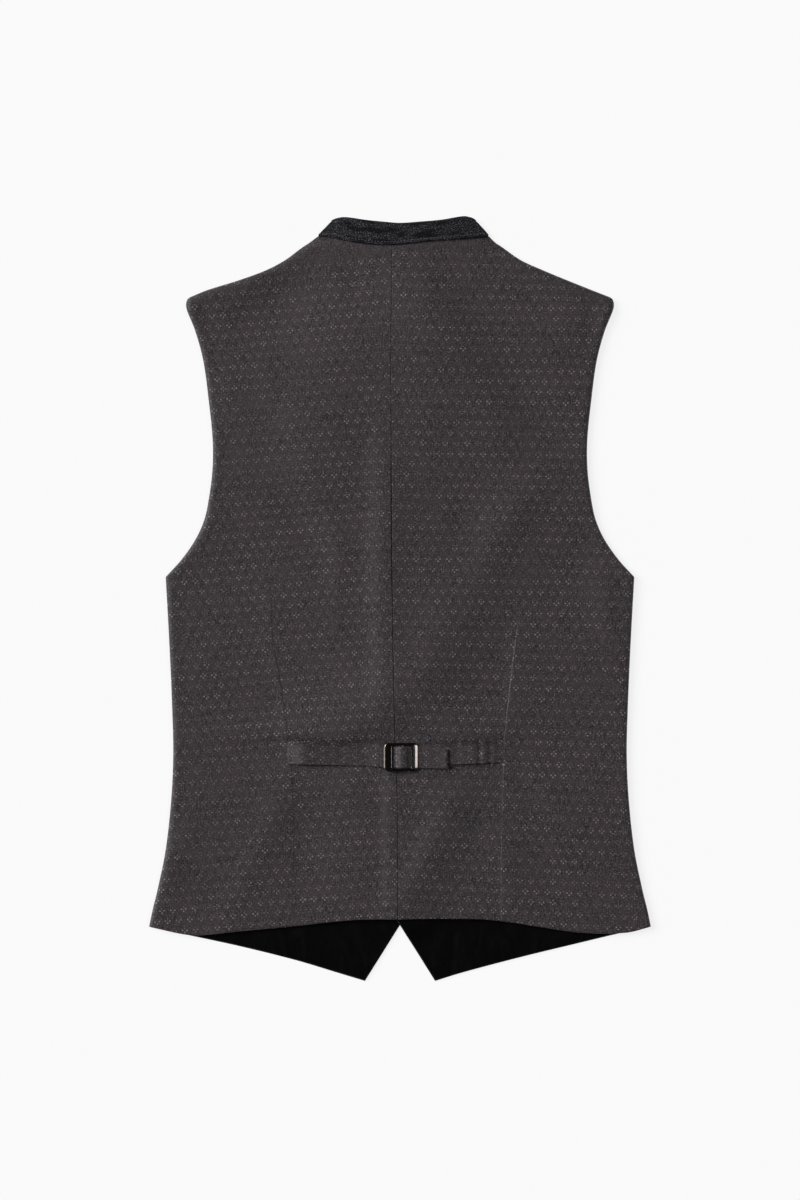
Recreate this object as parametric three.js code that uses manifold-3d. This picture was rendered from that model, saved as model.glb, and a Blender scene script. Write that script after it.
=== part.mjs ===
// Trachten vest, buttoned and laid flat on its front, the back uppermost.
// Millimetres. +Z is up, +Y runs to the collar, and the wearer's left is at -X. The floor is Z = 0.
// Each cloth piece is a wall of even thickness, worked out from its cut, and lies on the pieces below it.

import * as THREE from 'three';
import Module from 'manifold-3d';
import { mergeVertices } from 'three/addons/utils/BufferGeometryUtils.js';

const wasm = await Module();
wasm.setup();

// ---- Driving sizes ----

const gap = 0.3; // left between pieces that touch or are sewn together
const backCloth = 1.2; // jacquard and its interlining
const frontCloth = 1.2;
const facingCloth = 1.0;
const collarCloth = 1.8; // interlined, and turned over at its top edge
const strapCloth = 1.0;

const pitY = 22.3; // bottom of the armhole
const tipY = 296; // the armhole's top, at the shoulder
const wrap = 17; // each front's edge past the centre line
const wrapEndY = -292; // the front edges turn from straight to slanting here
const frontTip = { x: 34.4, y: -374 };
const armholeCut = 17; // the fronts' armholes are cut this much deeper
const facingWidth = 68; // of the band along the front edge
const facingInset = 1.2; // from the fronts' cut edges
const facingSideInset = 12; // from the side and shoulder seams

const headHeight = 2.0; // button heads, between the floor and the left front
const buttonRadius = 8;
const shankRadius = 0.9;
const buttonCount = 8;
const firstButtonY = 262;
const lastButtonY = -255;
const slit = { from: -13, to: 3, width: 2.6 };

const neck = { left: 78.8, right: 85.6, y: 354.9, depth: 72.9 }; // the collar's seam under the back
const collarTop = { left: 64.2, right: 70.8, y: 372.5, drop: 70 };
const foldRadius = 1.35; // the collar's side folds, to the middle of the cloth

const buckleAt = { x: 0.75, y: -153.8 };
const buckleSize = { x: 33.3, y: 28, corner: 4.5, thick: 1.8 };
const windowSize = { left: 8.75, right: 10.55, y: 22.6, corner: 1.2 };
const centreBar = { x: 2.0, width: 2.4, thick: 1.2 };

const backCells = { rows: 26, side: 14, shoulder: 9, neck: 5 };
const frontCells = { rows: 24, side: 13, slant: 3 };
// A front's grid lines, by their distance from the front edge. The neck point is on one, and so is the
// centre line.
const frontWidth = 240;
const neckPointAt = 104;
const frontLines = [frontWidth, 212, 184, 156, 130, neckPointAt, 86, facingWidth, 52, 36, wrap, 0];

// ---- Tables of the cut ----

// Half width of the back at the side seam and round the armhole.
const sideSeam = [
  { y: -320.3, x: 246 }, { y: -304, x: 242.6 }, { y: -284, x: 237.7 }, { y: -245, x: 229.8 },
  { y: -196, x: 224.4 }, { y: -152, x: 222.4 }, { y: -108, x: 223.4 }, { y: -49, x: 225.9 },
  { y: pitY, x: 229.8 },
];
const armhole = [
  { y: pitY, x: 229.8 }, { y: 39, x: 214.6 }, { y: 58.6, x: 200.9 }, { y: 78, x: 192.1 },
  { y: 98, x: 187.7 }, { y: 127, x: 184 }, { y: 157, x: 183.8 }, { y: 196, x: 187.7 },
  { y: 235, x: 193.1 }, { y: 264, x: 201 }, { y: 284, x: 209.2 }, { y: tipY, x: 207.4 },
];
const centreBackSeam = [
  { y: -313.3, x: -1.8 }, { y: -255, x: -1.8 }, { y: -176, x: -2.8 }, { y: -135, x: -4.7 },
  { y: -49, x: -6.4 }, { y: 26, x: -7.3 }, { y: 166, x: -8.3 }, { y: 279, x: -8.3 },
  { y: 347.3, x: -7.5 },
];
const shoulderLeft = [
  { x: -207.4, y: tipY }, { x: -189.1, y: 303.6 }, { x: -157.8, y: 313.4 }, { x: -131.3, y: 323.2 },
  { x: -112.7, y: 333 }, { x: -92.1, y: 346.7 }, { x: -80.9, y: 353.7 },
];
const shoulderRight = [
  { x: 87.6, y: 353.7 }, { x: 99, y: 346.7 }, { x: 118.6, y: 333 }, { x: 140.1, y: 323.2 },
  { x: 163.7, y: 313.4 }, { x: 188.2, y: 303.6 }, { x: 207.4, y: tipY },
];
const neckSeam = [
  { x: -80.9, y: 353.7 }, { x: -68.6, y: 353.4 }, { x: -58.8, y: 352.4 }, { x: -46.6, y: 350 },
  { x: -34.3, y: 348.2 }, { x: -19.6, y: 347.1 }, { x: 0, y: 347.6 }, { x: 18.4, y: 349.6 },
  { x: 38, y: 351.3 }, { x: 61.3, y: 352.9 }, { x: 77.8, y: 353.6 }, { x: 87.6, y: 353.7 },
];
const collarTopEdge = [
  { x: -64.2, y: 373.6 }, { x: -48, y: 373.9 }, { x: -34.3, y: 372.1 }, { x: -16.7, y: 370.2 },
  { x: 0, y: 368.9 }, { x: 19.6, y: 370.2 }, { x: 40.2, y: 372.1 }, { x: 56, y: 374 }, { x: 70.8, y: 373.7 },
];
const backHem = [
  { x: -246, y: -320.3 }, { x: -210.2, y: -328 }, { x: -192.1, y: -328.5 }, { x: -155.8, y: -324.8 },
  { x: -106.9, y: -320.3 }, { x: -56.2, y: -314.8 }, { x: -29, y: -313.3 }, { x: 71.1, y: -312.8 },
  { x: 107.3, y: -315.8 }, { x: 134.5, y: -320.3 }, { x: 178, y: -326.2 }, { x: 221.5, y: -326.2 },
  { x: 246, y: -320.3 },
];
const frontHemLeft = [
  { x: -246, y: -320.3 }, { x: -210.2, y: -328.4 }, { x: -155.8, y: -340.2 }, { x: -101.4, y: -353.8 },
  { x: -60.2, y: -366.2 }, { x: -frontTip.x, y: frontTip.y },
];
const frontHemRight = [
  { x: frontTip.x, y: frontTip.y }, { x: 60.2, y: -366 }, { x: 116.3, y: -351.1 },
  { x: 179.7, y: -335.7 }, { x: 210.2, y: -328.4 }, { x: 246, y: -320.3 },
];
const dart = { hem: -103.9, hemRight: 99 }; // where the long darts run out at the hem

// Soft ridges and troughs of the back: a centre line from one end to the other, half width and rise.
const folds = [
  { x0: -70, y0: 318, x1: -174, y1: 244, width: 21, rise: -1.3 },
  { x0: 0, y0: 330, x1: 98, y1: 174, width: 19, rise: 1.5 },
  { x0: -103, y0: 200, x1: -82, y1: 90, width: 30, rise: 0.9 },
  { x0: -126, y0: 114, x1: -78, y1: 38, width: 16, rise: -0.8 },
  { x0: -11, y0: 150, x1: -13, y1: -80, width: 16, rise: 0.7 },
  { x0: 148, y0: 126, x1: 68, y1: 20, width: 19, rise: 1.3 },
  { x0: 66, y0: 12, x1: -4, y1: -104, width: 23, rise: 1.3 },
  { x0: 188, y0: 84, x1: 162, y1: 10, width: 17, rise: -0.6 },
  { x0: 199, y0: 38, x1: 212, y1: -64, width: 12, rise: 0.7 },
  { x0: -222, y0: -135, x1: -126, y1: -135, width: 9, rise: 0.6 },
  { x0: -113, y0: -184, x1: -160, y1: -294, width: 15, rise: 1.0 },
  { x0: -99, y0: -188, x1: -101, y1: -300, width: 15, rise: -0.8 },
  { x0: -204, y0: -208, x1: -228, y1: -286, width: 12, rise: 0.6 },
  { x0: 80, y0: -184, x1: 4, y1: -298, width: 20, rise: 1.2 },
  { x0: 98, y0: -226, x1: 112, y1: -304, width: 15, rise: 0.8 },
  { x0: 142, y0: -172, x1: 214, y1: -256, width: 12, rise: 1.2 },
];

// The cinch straps: the middle line's place, and the width, along X.
const strapLine = [
  { x: -110.1, y: -149.9, width: 22.6 }, { x: -60, y: -150.9, width: 22.4 }, { x: -22, y: -152.6, width: 22 },
  { x: -14, y: -153.8, width: 21.4 }, { x: 17, y: -154.2, width: 21.4 }, { x: 46.6, y: -155.3, width: 19.4 },
];
const loopLine = [
  { x: -2, y: -153.8, width: 20.4 }, { x: 14, y: -153.4, width: 20.6 }, { x: 30, y: -152.4, width: 20.8 },
  { x: 49, y: -150.9, width: 21.2 }, { x: 101.7, y: -148.2, width: 22.4 },
];
// The middle of each strap's thickness above the back, along its run.
const strapRun = [
  { x: -110.1, z: 0.95 }, { x: -96, z: 0.95 }, { x: -78, z: 0.95 }, { x: -58, z: 0.95 }, { x: -40, z: 0.95 },
  { x: -28, z: 1.1 }, { x: -18, z: 1.9 }, { x: -12, z: 2.2 }, { x: -7, z: 2.2 }, { x: -4, z: 2.5 },
  { x: -2.2, z: 3.4 }, { x: -1.2, z: 4.6 }, { x: 0.2, z: 5.5 }, { x: 2, z: 5.8 }, { x: 3.8, z: 5.7 },
  { x: 6, z: 4.8 }, { x: 8.2, z: 3.2 }, { x: 10.6, z: 2.3 }, { x: 17.6, z: 2.25 }, { x: 28, z: 2.3 },
  { x: 38, z: 2.3 }, { x: 46.6, z: 2.3 },
];
const loopRun = [
  { x: 101.7, z: 0.95 }, { x: 88, z: 0.95 }, { x: 72, z: 0.95 }, { x: 56, z: 0.95 }, { x: 40, z: 0.95 },
  { x: 26, z: 0.95 }, { x: 15, z: 0.95 }, { x: 10, z: 1.05 }, { x: 6, z: 1.4 }, { x: 3.4, z: 1.6 },
];
const loopEnd = [{ x: 3.4, z: 4.4 }, { x: 4.7, z: 3.9 }, { x: 5.5, z: 3.1 }];
const loopTurn = { x: 1.2, z: 3.0, radius: 1.4, steps: 6 };

// ---- Small helpers ----

// A smooth curve through a table's rows, read at one place. The rows are in the order of the key.
function through(rows, key, value, at) {
  const last = rows.length - 1;
  let i = rows.findIndex((row) => row[key] > at) - 1;
  if (i < 0) i = at < rows[0][key] ? 0 : last - 1;
  const slope = (a, b) => (rows[b][value] - rows[a][value]) / (rows[b][key] - rows[a][key]);
  const span = rows[i + 1][key] - rows[i][key];
  const t = THREE.MathUtils.clamp((at - rows[i][key]) / span, 0, 1);
  const startSlope = slope(Math.max(i - 1, 0), i + 1) * span;
  const endSlope = slope(i, Math.min(i + 2, last)) * span;
  const near = rows[i][value];
  const far = rows[i + 1][value];
  return near * (1 + 2 * t) * (1 - t) ** 2 + far * (3 - 2 * t) * t ** 2
    + startSlope * t * (1 - t) ** 2 - endSlope * t ** 2 * (1 - t);
}

const mix = THREE.MathUtils.lerp;
const soft = (value, from, to) => THREE.MathUtils.smoothstep(value, Math.min(from, to), Math.max(from, to));

// 1 inside a band and 0 outside it, falling softly over the given distance past each end.
function band(value, from, to, fall) {
  return soft(value, from - fall, from) * (1 - soft(value, to, to + fall));
}

// A closed geometry from corner points and triangles, turned to face out.
function closed(points, triangles) {
  let volume = 0;
  const at = (n) => new THREE.Vector3(...points[n]);
  for (const [a, b, c] of triangles) volume += at(a).dot(at(b).cross(at(c)));
  const faces = volume < 0 ? triangles.map(([a, b, c]) => [a, c, b]) : triangles;
  const geometry = new THREE.BufferGeometry();
  geometry.setAttribute('position', new THREE.Float32BufferAttribute(points.flat(), 3));
  geometry.setIndex(faces.flat());
  return geometry;
}

// A wall of cloth: under(i, j) and over(i, j) give its two faces over a grid, and holds(i, j) its cells.
function wall(rows, cols, under, over, holds = () => true) {
  const points = [];
  const triangles = [];
  const numbers = new Map();
  const corner = (i, j, side) => {
    const name = `${i},${j},${side}`;
    if (!numbers.has(name)) {
      numbers.set(name, points.length);
      points.push(side ? over(i, j) : under(i, j));
    }
    return numbers.get(name);
  };
  const has = (i, j) => i >= 0 && j >= 0 && i < rows && j < cols && holds(i, j);
  const quad = (a, b, c, d) => triangles.push([a, b, c], [a, c, d]);
  for (let i = 0; i < rows; i++) {
    for (let j = 0; j < cols; j++) {
      if (!has(i, j)) continue;
      const [low, high] = [0, 1].map((side) => [
        corner(i, j, side), corner(i, j + 1, side), corner(i + 1, j + 1, side), corner(i + 1, j, side),
      ]);
      quad(...high);
      triangles.push([low[2], low[1], low[0]], [low[3], low[2], low[0]]);
      const next = [[i - 1, j], [i, j + 1], [i + 1, j], [i, j - 1]];
      next.forEach((cell, k) => {
        if (!has(...cell)) quad(low[k], low[(k + 1) % 4], high[(k + 1) % 4], high[k]);
      });
    }
  }
  return closed(points, triangles);
}

function toManifold(geometry) {
  const bare = geometry.clone();
  for (const name of Object.keys(bare.attributes)) if (name !== 'position') bare.deleteAttribute(name);
  const merged = mergeVertices(bare, 1e-4);
  return new wasm.Manifold(new wasm.Mesh({
    numProp: 3,
    vertProperties: new Float32Array(merged.attributes.position.array),
    triVerts: new Uint32Array(merged.index.array),
  }));
}

function fromManifold(solid) {
  const mesh = solid.getMesh();
  const geometry = new THREE.BufferGeometry();
  geometry.setAttribute('position', new THREE.BufferAttribute(new Float32Array(mesh.vertProperties), 3));
  geometry.setIndex(new THREE.BufferAttribute(new Uint32Array(mesh.triVerts), 1));
  return geometry;
}

// ---- The flat cut of a panel ----

// A point of a panel from its four edges. u runs from the outer edge to the middle, v from the hem up.
function patch(edges, u, v) {
  const { outer, inner, hem, top } = edges;
  const sum = (axis) => (1 - u) * outer(v)[axis] + u * inner(v)[axis] + (1 - v) * hem(u)[axis] + v * top(u)[axis]
    - (1 - u) * (1 - v) * hem(0)[axis] - u * (1 - v) * hem(1)[axis]
    - (1 - u) * v * top(0)[axis] - u * v * top(1)[axis];
  return [sum(0), sum(1)];
}

// A run from one number to another by way of a turning point, which is reached at the share `at`.
const byWayOf = (from, turn, to, at, t) => (t < at ? mix(from, turn, t / at) : mix(turn, to, (t - at) / (1 - at)));

function outerEdge(side, rows, extra) {
  const share = rows.side / rows.rows;
  return (v) => {
    const y = byWayOf(sideSeam[0].y, pitY, tipY, share, v);
    const cut = extra * Math.sin(Math.PI * soft(y, pitY, tipY)) ** 0.8;
    return [side * (through(v < share ? sideSeam : armhole, 'y', 'x', y) - cut), y];
  };
}

const shoulderY = (x) => through(x < 0 ? shoulderLeft : shoulderRight, 'x', 'y', x);

function backEdges(side) {
  const share = backCells.side / backCells.rows;
  const columns = backCells.shoulder + backCells.neck;
  const turn = backCells.shoulder / columns;
  const neckPoint = side < 0 ? shoulderLeft.at(-1) : shoulderRight[0];
  const middle = (y) => through(centreBackSeam, 'y', 'x', y) + side * gap / 2;
  const dartX = side < 0 ? dart.hem : dart.hemRight;
  return {
    outer: outerEdge(side, backCells, 0),
    inner: (v) => {
      const y = byWayOf(centreBackSeam[0].y, pitY, centreBackSeam.at(-1).y, share, v);
      return [middle(y), y];
    },
    hem: (u) => {
      const x = byWayOf(side * backHem.at(-1).x, dartX, middle(centreBackSeam[0].y), turn, u);
      return [x, through(backHem, 'x', 'y', x)];
    },
    top: (u) => {
      const x = byWayOf(side * shoulderRight.at(-1).x, neckPoint.x, middle(centreBackSeam.at(-1).y), turn, u);
      return [x, u < turn ? shoulderY(x) : through(neckSeam, 'x', 'y', x)];
    },
  };
}

// The seam between a front and the collar: an ellipse, which turns up again past the centre line.
function neckCurve(side, angle, grow = 0) {
  const across = (side < 0 ? neck.left : neck.right) + grow;
  return [side * across * Math.cos(angle), neck.y - (neck.depth + grow) * Math.sin(angle)];
}

// The slanting part of a front edge, from its end at the straight edge to the hem's point.
const slantX = (side, y) => side * mix(-wrap, frontTip.x, (wrapEndY - y) / (wrapEndY - frontTip.y));

function frontEdges(side) {
  const turn = 1 - neckPointAt / frontWidth;
  const centre = 1 - wrap / frontWidth;
  const neckPoint = side < 0 ? shoulderLeft.at(-1) : shoulderRight[0];
  const across = side < 0 ? neck.left : neck.right;
  const lastAngle = Math.acos(-wrap / across);
  const frontHem = side < 0 ? frontHemLeft : frontHemRight;
  const topEnd = neckCurve(side, lastAngle, gap);
  return {
    outer: outerEdge(side, frontCells, armholeCut),
    inner: (v) => {
      const slant = frontCells.slant / frontCells.rows;
      const y = byWayOf(frontTip.y, wrapEndY, topEnd[1], slant, v);
      return [v < slant ? slantX(side, y) : -side * wrap, y];
    },
    hem: (u) => {
      const x = side * mix(246, frontTip.x, u);
      return [x, through(frontHem, 'x', 'y', x)];
    },
    top: (u) => {
      if (u < turn) {
        const x = mix(side * shoulderRight.at(-1).x, neckPoint.x, u / turn);
        return [x, shoulderY(x)];
      }
      const share = (centre - turn) / (1 - turn);
      return neckCurve(side, byWayOf(0, Math.PI / 2, lastAngle, share, (u - turn) / (1 - turn)), gap);
    },
  };
}

// ---- Heights of the layers ----

const frontsAndFacing = frontCloth + facingCloth + 2 * gap; // one front with its facing, and the gaps over them
const slack = 0.6; // the fronts' overlap is pressed less flat than the rest

// The left front is lifted over the button heads along the centre line, and lies on the floor elsewhere.
function leftFrontZ(x, y) {
  const lift = headHeight + gap;
  return lift * soft(x, -50, -24) * band(y, -266, 400, 56);
}

// The right front lies over the left one's edge, and comes down to the floor past it.
function rightFrontZ(x, y) {
  const edge = y < wrapEndY ? slantX(-1, y) : wrap;
  const onLeft = (leftFrontZ(Math.min(x, wrap), y) + frontsAndFacing + slack) * (1 - soft(x, edge + 14, edge + 42));
  return onLeft * (1 - soft(-y, 318, 350));
}

const frontZ = (side, x, y) => (side < 0 ? leftFrontZ : rightFrontZ)(x, y);

const halfWidth = (y) => through(y < pitY ? sideSeam : armhole, 'y', 'x', THREE.MathUtils.clamp(y, -320.3, 284));

// How far a point lies inside the shoulder seam, which is carried on over the neck as a straight line.
function underShoulder(x, y) {
  const neckPoint = x < 0 ? shoulderLeft.at(-1) : shoulderRight[0];
  const past = Math.abs(neckPoint.x) - Math.abs(x);
  const line = past > 0 ? neckPoint.y + 0.6 * past : shoulderY(x);
  return Math.max(0, (line - y) * 0.88);
}

function foldHeight(x, y) {
  let sum = 0;
  for (const fold of folds) {
    const line = new THREE.Line3(new THREE.Vector3(fold.x0, fold.y0, 0), new THREE.Vector3(fold.x1, fold.y1, 0));
    const point = new THREE.Vector3(x, y, 0);
    const near = line.closestPointToPoint(point, true, new THREE.Vector3());
    sum += fold.rise * Math.exp(-((near.distanceTo(point) / fold.width) ** 2));
  }
  return sum;
}

const loft = 3.0; // how far the back stands off the fronts, away from the seams
const seamFall = 13; // and the distance over which it comes down to them

// The underside of the back: seated on the side and shoulder seams, and lifted over the button stand.
function backZ(x, y) {
  const offSide = Math.max(0, halfWidth(y) - Math.abs(x));
  const offShoulder = underShoulder(x, y);
  const free = (1 - Math.exp(-offSide / seamFall)) * (1 - Math.exp(-offShoulder / seamFall));
  const crown = (1 - soft(Math.abs(x), 34, 80)) * (1 - 0.6 * soft(y, 300, 347));
  const stack = leftFrontZ(0, y) + 2 * frontsAndFacing + slack + gap;
  const bends = foldHeight(x, y);
  const bend = bends > 0 ? bends : bends * (1 - crown);
  const droop = 0.8 * Math.exp(-offSide / 8) * band(y, 60, 250, 30);
  const neckPoint = x < 0 ? shoulderLeft.at(-1) : shoulderRight[0];
  const overCollar = (collarCloth - frontCloth) * Math.exp(-Math.hypot(x - neckPoint.x, y - neckPoint.y) / 12);
  const overFronts = frontCloth + gap + overCollar + free * (loft + bend);
  return overFronts + crown * free * Math.max(0, stack - frontCloth - loft) - droop;
}

const backTop = (x, y) => backZ(x, y) + backCloth;

// ---- Panels ----

function gridPoints(edges, rows, shares) {
  return Array.from({ length: rows + 1 }, (_, i) => shares.map((u) => patch(edges, u, i / rows)));
}

function panel(grid, underZ, thick, holds) {
  const rows = grid.length - 1;
  const cols = grid[0].length - 1;
  const at = (i, j, lift) => [...grid[i][j], underZ(...grid[i][j]) + lift];
  return wall(rows, cols, (i, j) => at(i, j, 0), (i, j) => at(i, j, thick), holds);
}

function back(side) {
  const columns = backCells.shoulder + backCells.neck;
  const shares = Array.from({ length: columns + 1 }, (_, j) => j / columns);
  return panel(gridPoints(backEdges(side), backCells.rows, shares), backZ, backCloth);
}

const frontGrid = (side) => gridPoints(frontEdges(side), frontCells.rows,
  frontLines.map((distance) => 1 - distance / frontWidth));

function front(side) {
  return panel(frontGrid(side), (x, y) => frontZ(side, x, y), frontCloth);
}

// The facing is laid from its front's own points, a little inside the front's edges, and keeps only the
// bands along the front edge and the hem.
function facing(side) {
  const grid = frontGrid(side);
  const rows = grid.length - 1;
  const cols = grid[0].length - 1;
  const raised = grid.map((row) => row.map(([x, y]) => (
    new THREE.Vector3(x, y, frontZ(side, x, y) + frontCloth + gap))));
  const inset = (point, next, distance) => point.clone().lerp(next, distance / point.distanceTo(next));
  for (const row of raised) {
    row[0] = inset(row[0], row[1], facingSideInset);
    row[cols] = inset(row[cols], row[cols - 1], facingInset);
  }
  raised[0] = raised[0].map((point, j) => inset(point, raised[1][j], facingInset));
  raised[rows] = raised[rows].map((point, j) => inset(point, raised[rows - 1][j], facingInset));
  const holds = (i, j) => i < frontCells.slant || frontLines[j] <= facingWidth;
  const at = (i, j, lift) => [raised[i][j].x, raised[i][j].y, raised[i][j].z + lift];
  return wall(rows, cols, (i, j) => at(i, j, 0), (i, j) => at(i, j, facingCloth), holds);
}

const buttonPlaces = Array.from({ length: buttonCount },
  (_, n) => mix(firstButtonY, lastButtonY, n / (buttonCount - 1)));

// Cuts the buttonholes through a piece of the left front.
function withButtonholes(geometry) {
  let solid = toManifold(geometry);
  for (const y of buttonPlaces) {
    const cutter = new THREE.BoxGeometry(slit.to - slit.from, slit.width, 20);
    cutter.translate((slit.from + slit.to) / 2, y, 5);
    solid = solid.subtract(toManifold(cutter));
  }
  return fromManifold(solid);
}

// ---- Collar ----

// One band round the neck: along the fronts, round the left and right folds, and along the back.
// A station has the seam edge, the top edge and the way out of the cloth's outer face.
function collarStations() {
  const stations = [];
  const foldSteps = 6;
  const backSteps = 18;
  const middle = collarCloth / 2;
  const foldZ = middle + foldRadius;
  const down = new THREE.Vector3(0, 0, -1);
  const up = new THREE.Vector3(0, 0, 1);

  const frontPart = (side) => {
    const part = [];
    const across = side < 0 ? collarTop.left : collarTop.right;
    for (const line of frontLines.filter((distance) => distance >= wrap && distance < neckPointAt).reverse()) {
      const angle = Math.PI / 2 * (neckPointAt - line) / (neckPointAt - wrap);
      const seam = neckCurve(side, angle);
      const top = [side * across * Math.cos(angle), collarTop.y - collarTop.drop * Math.sin(angle)];
      if (line === wrap) seam[0] = top[0] = side * gap;
      const z = frontZ(side, ...seam) + middle;
      part.push({ seam: new THREE.Vector3(...seam, z), top: new THREE.Vector3(...top, z), out: down });
    }
    return part;
  };

  const foldPart = (side) => {
    const part = [];
    const seamEnd = new THREE.Vector3(side * (side < 0 ? neck.left : neck.right), neck.y, foldZ);
    const topEnd = new THREE.Vector3(side * (side < 0 ? collarTop.left : collarTop.right), collarTop.y, foldZ);
    const axis = topEnd.clone().sub(seamEnd).normalize();
    const away = new THREE.Vector3().crossVectors(axis, up).multiplyScalar(side);
    for (let n = 0; n <= foldSteps; n++) {
      const turn = Math.PI * n / foldSteps;
      const out = down.clone().multiplyScalar(Math.cos(turn)).addScaledVector(away, Math.sin(turn));
      part.push({
        seam: seamEnd.clone().addScaledVector(out, foldRadius),
        top: topEnd.clone().addScaledVector(out, foldRadius),
        out,
      });
    }
    return part;
  };

  const backPart = () => {
    const part = [];
    for (let n = 1; n < backSteps; n++) {
      const t = n / backSteps;
      const seamX = mix(neck.right, -neck.left, t);
      const topX = mix(collarTop.right, -collarTop.left, t);
      const inward = Math.sin(Math.PI * t) ** 0.7;
      const z = mix(foldZ + foldRadius, backZ(0, 345) + backCloth, inward);
      const seamY = through(neckSeam, 'x', 'y', seamX) + gap + 0.1;
      part.push({
        seam: new THREE.Vector3(seamX, seamY, z),
        top: new THREE.Vector3(topX, through(collarTopEdge, 'x', 'y', topX), z - 0.6 * inward),
        out: up,
      });
    }
    return part;
  };

  stations.push(...frontPart(1), ...foldPart(1), ...backPart());
  stations.push(...foldPart(-1).reverse(), ...frontPart(-1).reverse());
  return stations;
}

function collar() {
  const stations = collarStations();
  const across = 3;
  const at = (i, j, lift) => {
    const { seam, top, out } = stations[i];
    return seam.clone().lerp(top, j / across).addScaledVector(out, lift).toArray();
  };
  return wall(stations.length - 1, across,
    (i, j) => at(i, j, -collarCloth / 2), (i, j) => at(i, j, collarCloth / 2));
}

// ---- Cinch belt ----

const loftAtBuckle = backTop(buckleAt.x, buckleAt.y);

// The cloth under the strap, which is level under the buckle.
function underStrap(x, y) {
  const level = 1 - soft(Math.abs(x - buckleAt.x), 20, 34);
  return mix(backTop(x, y), loftAtBuckle, level);
}

// A strap from its run of heights over the back, with the middle line and width from its table.
function strap(run, line) {
  const across = 3;
  const place = ({ x, z }, j) => {
    const y = through(line, 'x', 'y', x) + (j / across - 0.5) * through(line, 'x', 'width', x);
    return new THREE.Vector3(x, y, underStrap(x, y) + z);
  };
  const at = (i, j, lift) => {
    const before = place(run[Math.max(i - 1, 0)], j);
    const after = place(run[Math.min(i + 1, run.length - 1)], j);
    const along = after.sub(before).setY(0).normalize();
    return place(run[i], j).addScaledVector(new THREE.Vector3(-along.z, 0, along.x), lift).toArray();
  };
  return wall(run.length - 1, across, (i, j) => at(i, j, -strapCloth / 2), (i, j) => at(i, j, strapCloth / 2));
}

function beltRight() {
  const turn = [];
  for (let n = 0; n <= loopTurn.steps; n++) {
    const angle = -Math.PI / 2 - Math.PI * n / loopTurn.steps;
    turn.push({
      x: loopTurn.x + loopTurn.radius * Math.cos(angle),
      z: loopTurn.z + loopTurn.radius * Math.sin(angle),
    });
  }
  return strap([...loopRun, ...turn, ...loopEnd], loopLine);
}

function roundedRectangle(path, left, right, halfHeight, corner) {
  path.moveTo(left + corner, -halfHeight);
  path.lineTo(right - corner, -halfHeight);
  path.absarc(right - corner, -halfHeight + corner, corner, -Math.PI / 2, 0);
  path.absarc(right - corner, halfHeight - corner, corner, 0, Math.PI / 2);
  path.absarc(left + corner, halfHeight - corner, corner, Math.PI / 2, Math.PI);
  path.absarc(left + corner, -halfHeight + corner, corner, Math.PI, 1.5 * Math.PI);
  return path;
}

// The slide: a frame with a window, and a bar across the window for the loop and the strap.
function buckle() {
  const bevel = 0.5;
  const half = buckleSize.x / 2 - bevel;
  const outline = roundedRectangle(new THREE.Shape(), -half, half, buckleSize.y / 2 - bevel,
    buckleSize.corner - bevel);
  outline.holes.push(roundedRectangle(new THREE.Path(), -windowSize.left - bevel, windowSize.right + bevel,
    windowSize.y / 2 + bevel, windowSize.corner + bevel));
  const frame = new THREE.ExtrudeGeometry(outline, {
    depth: buckleSize.thick - 2 * bevel, bevelThickness: bevel, bevelSize: bevel,
    bevelSegments: 2, curveSegments: 4,
  });
  frame.translate(0, 0, bevel);
  const reach = (windowSize.y + buckleSize.y) / 2;
  const bar = new THREE.BoxGeometry(centreBar.width, reach, centreBar.thick);
  bar.translate(centreBar.x - buckleAt.x, 0, 0);
  return fromManifold(toManifold(frame).add(toManifold(bar)));
}

// ---- Buttons ----

function button(shankTop) {
  const edge = 0.5;
  const profile = [
    [0, 0], [buttonRadius - edge, 0], [buttonRadius, edge], [buttonRadius, headHeight - edge],
    [buttonRadius - edge, headHeight], [shankRadius, headHeight], [shankRadius, shankTop], [0, shankTop],
  ].map(([r, z]) => new THREE.Vector2(r, z));
  return new THREE.LatheGeometry(profile, 20).rotateX(Math.PI / 2);
}

// ---- The vest ----

const materials = {
  jacquard: { color: 0x3d3739, roughness: 0.6, metalness: 0 },
  felt: { color: 0x2b292d, roughness: 0.95, metalness: 0 },
  satin: { color: 0x09090b, roughness: 0.45, metalness: 0 },
  steel: { color: 0xa9a8a6, roughness: 0.25, metalness: 1 },
  horn: { color: 0x2a2421, roughness: 0.4, metalness: 0 },
};

const vest = new THREE.Group();

function add(name, geometry, look) {
  const mesh = new THREE.Mesh(geometry, new THREE.MeshStandardMaterial(materials[look]));
  mesh.name = name;
  vest.add(mesh);
  return mesh;
}

add('front_left', withButtonholes(front(-1)), 'felt');
add('front_right', front(1), 'felt');
add('facing_left', withButtonholes(facing(-1)), 'satin');
add('facing_right', facing(1), 'satin');
add('back_left', back(-1), 'jacquard');
add('back_right', back(1), 'jacquard');
add('collar', collar(), 'felt');
add('belt_left', strap(strapRun, strapLine), 'jacquard');
add('belt_right', beltRight(), 'jacquard');
add('buckle', buckle(), 'steel').position.set(buckleAt.x, buckleAt.y, loftAtBuckle + loopTurn.z);

buttonPlaces.forEach((y, n) => {
  const shankTop = rightFrontZ(0, y) - gap;
  add(`button_${n + 1}`, button(shankTop), 'horn').position.set(0, y, 0);
});

export default vest;
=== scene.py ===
import math
import random

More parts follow.
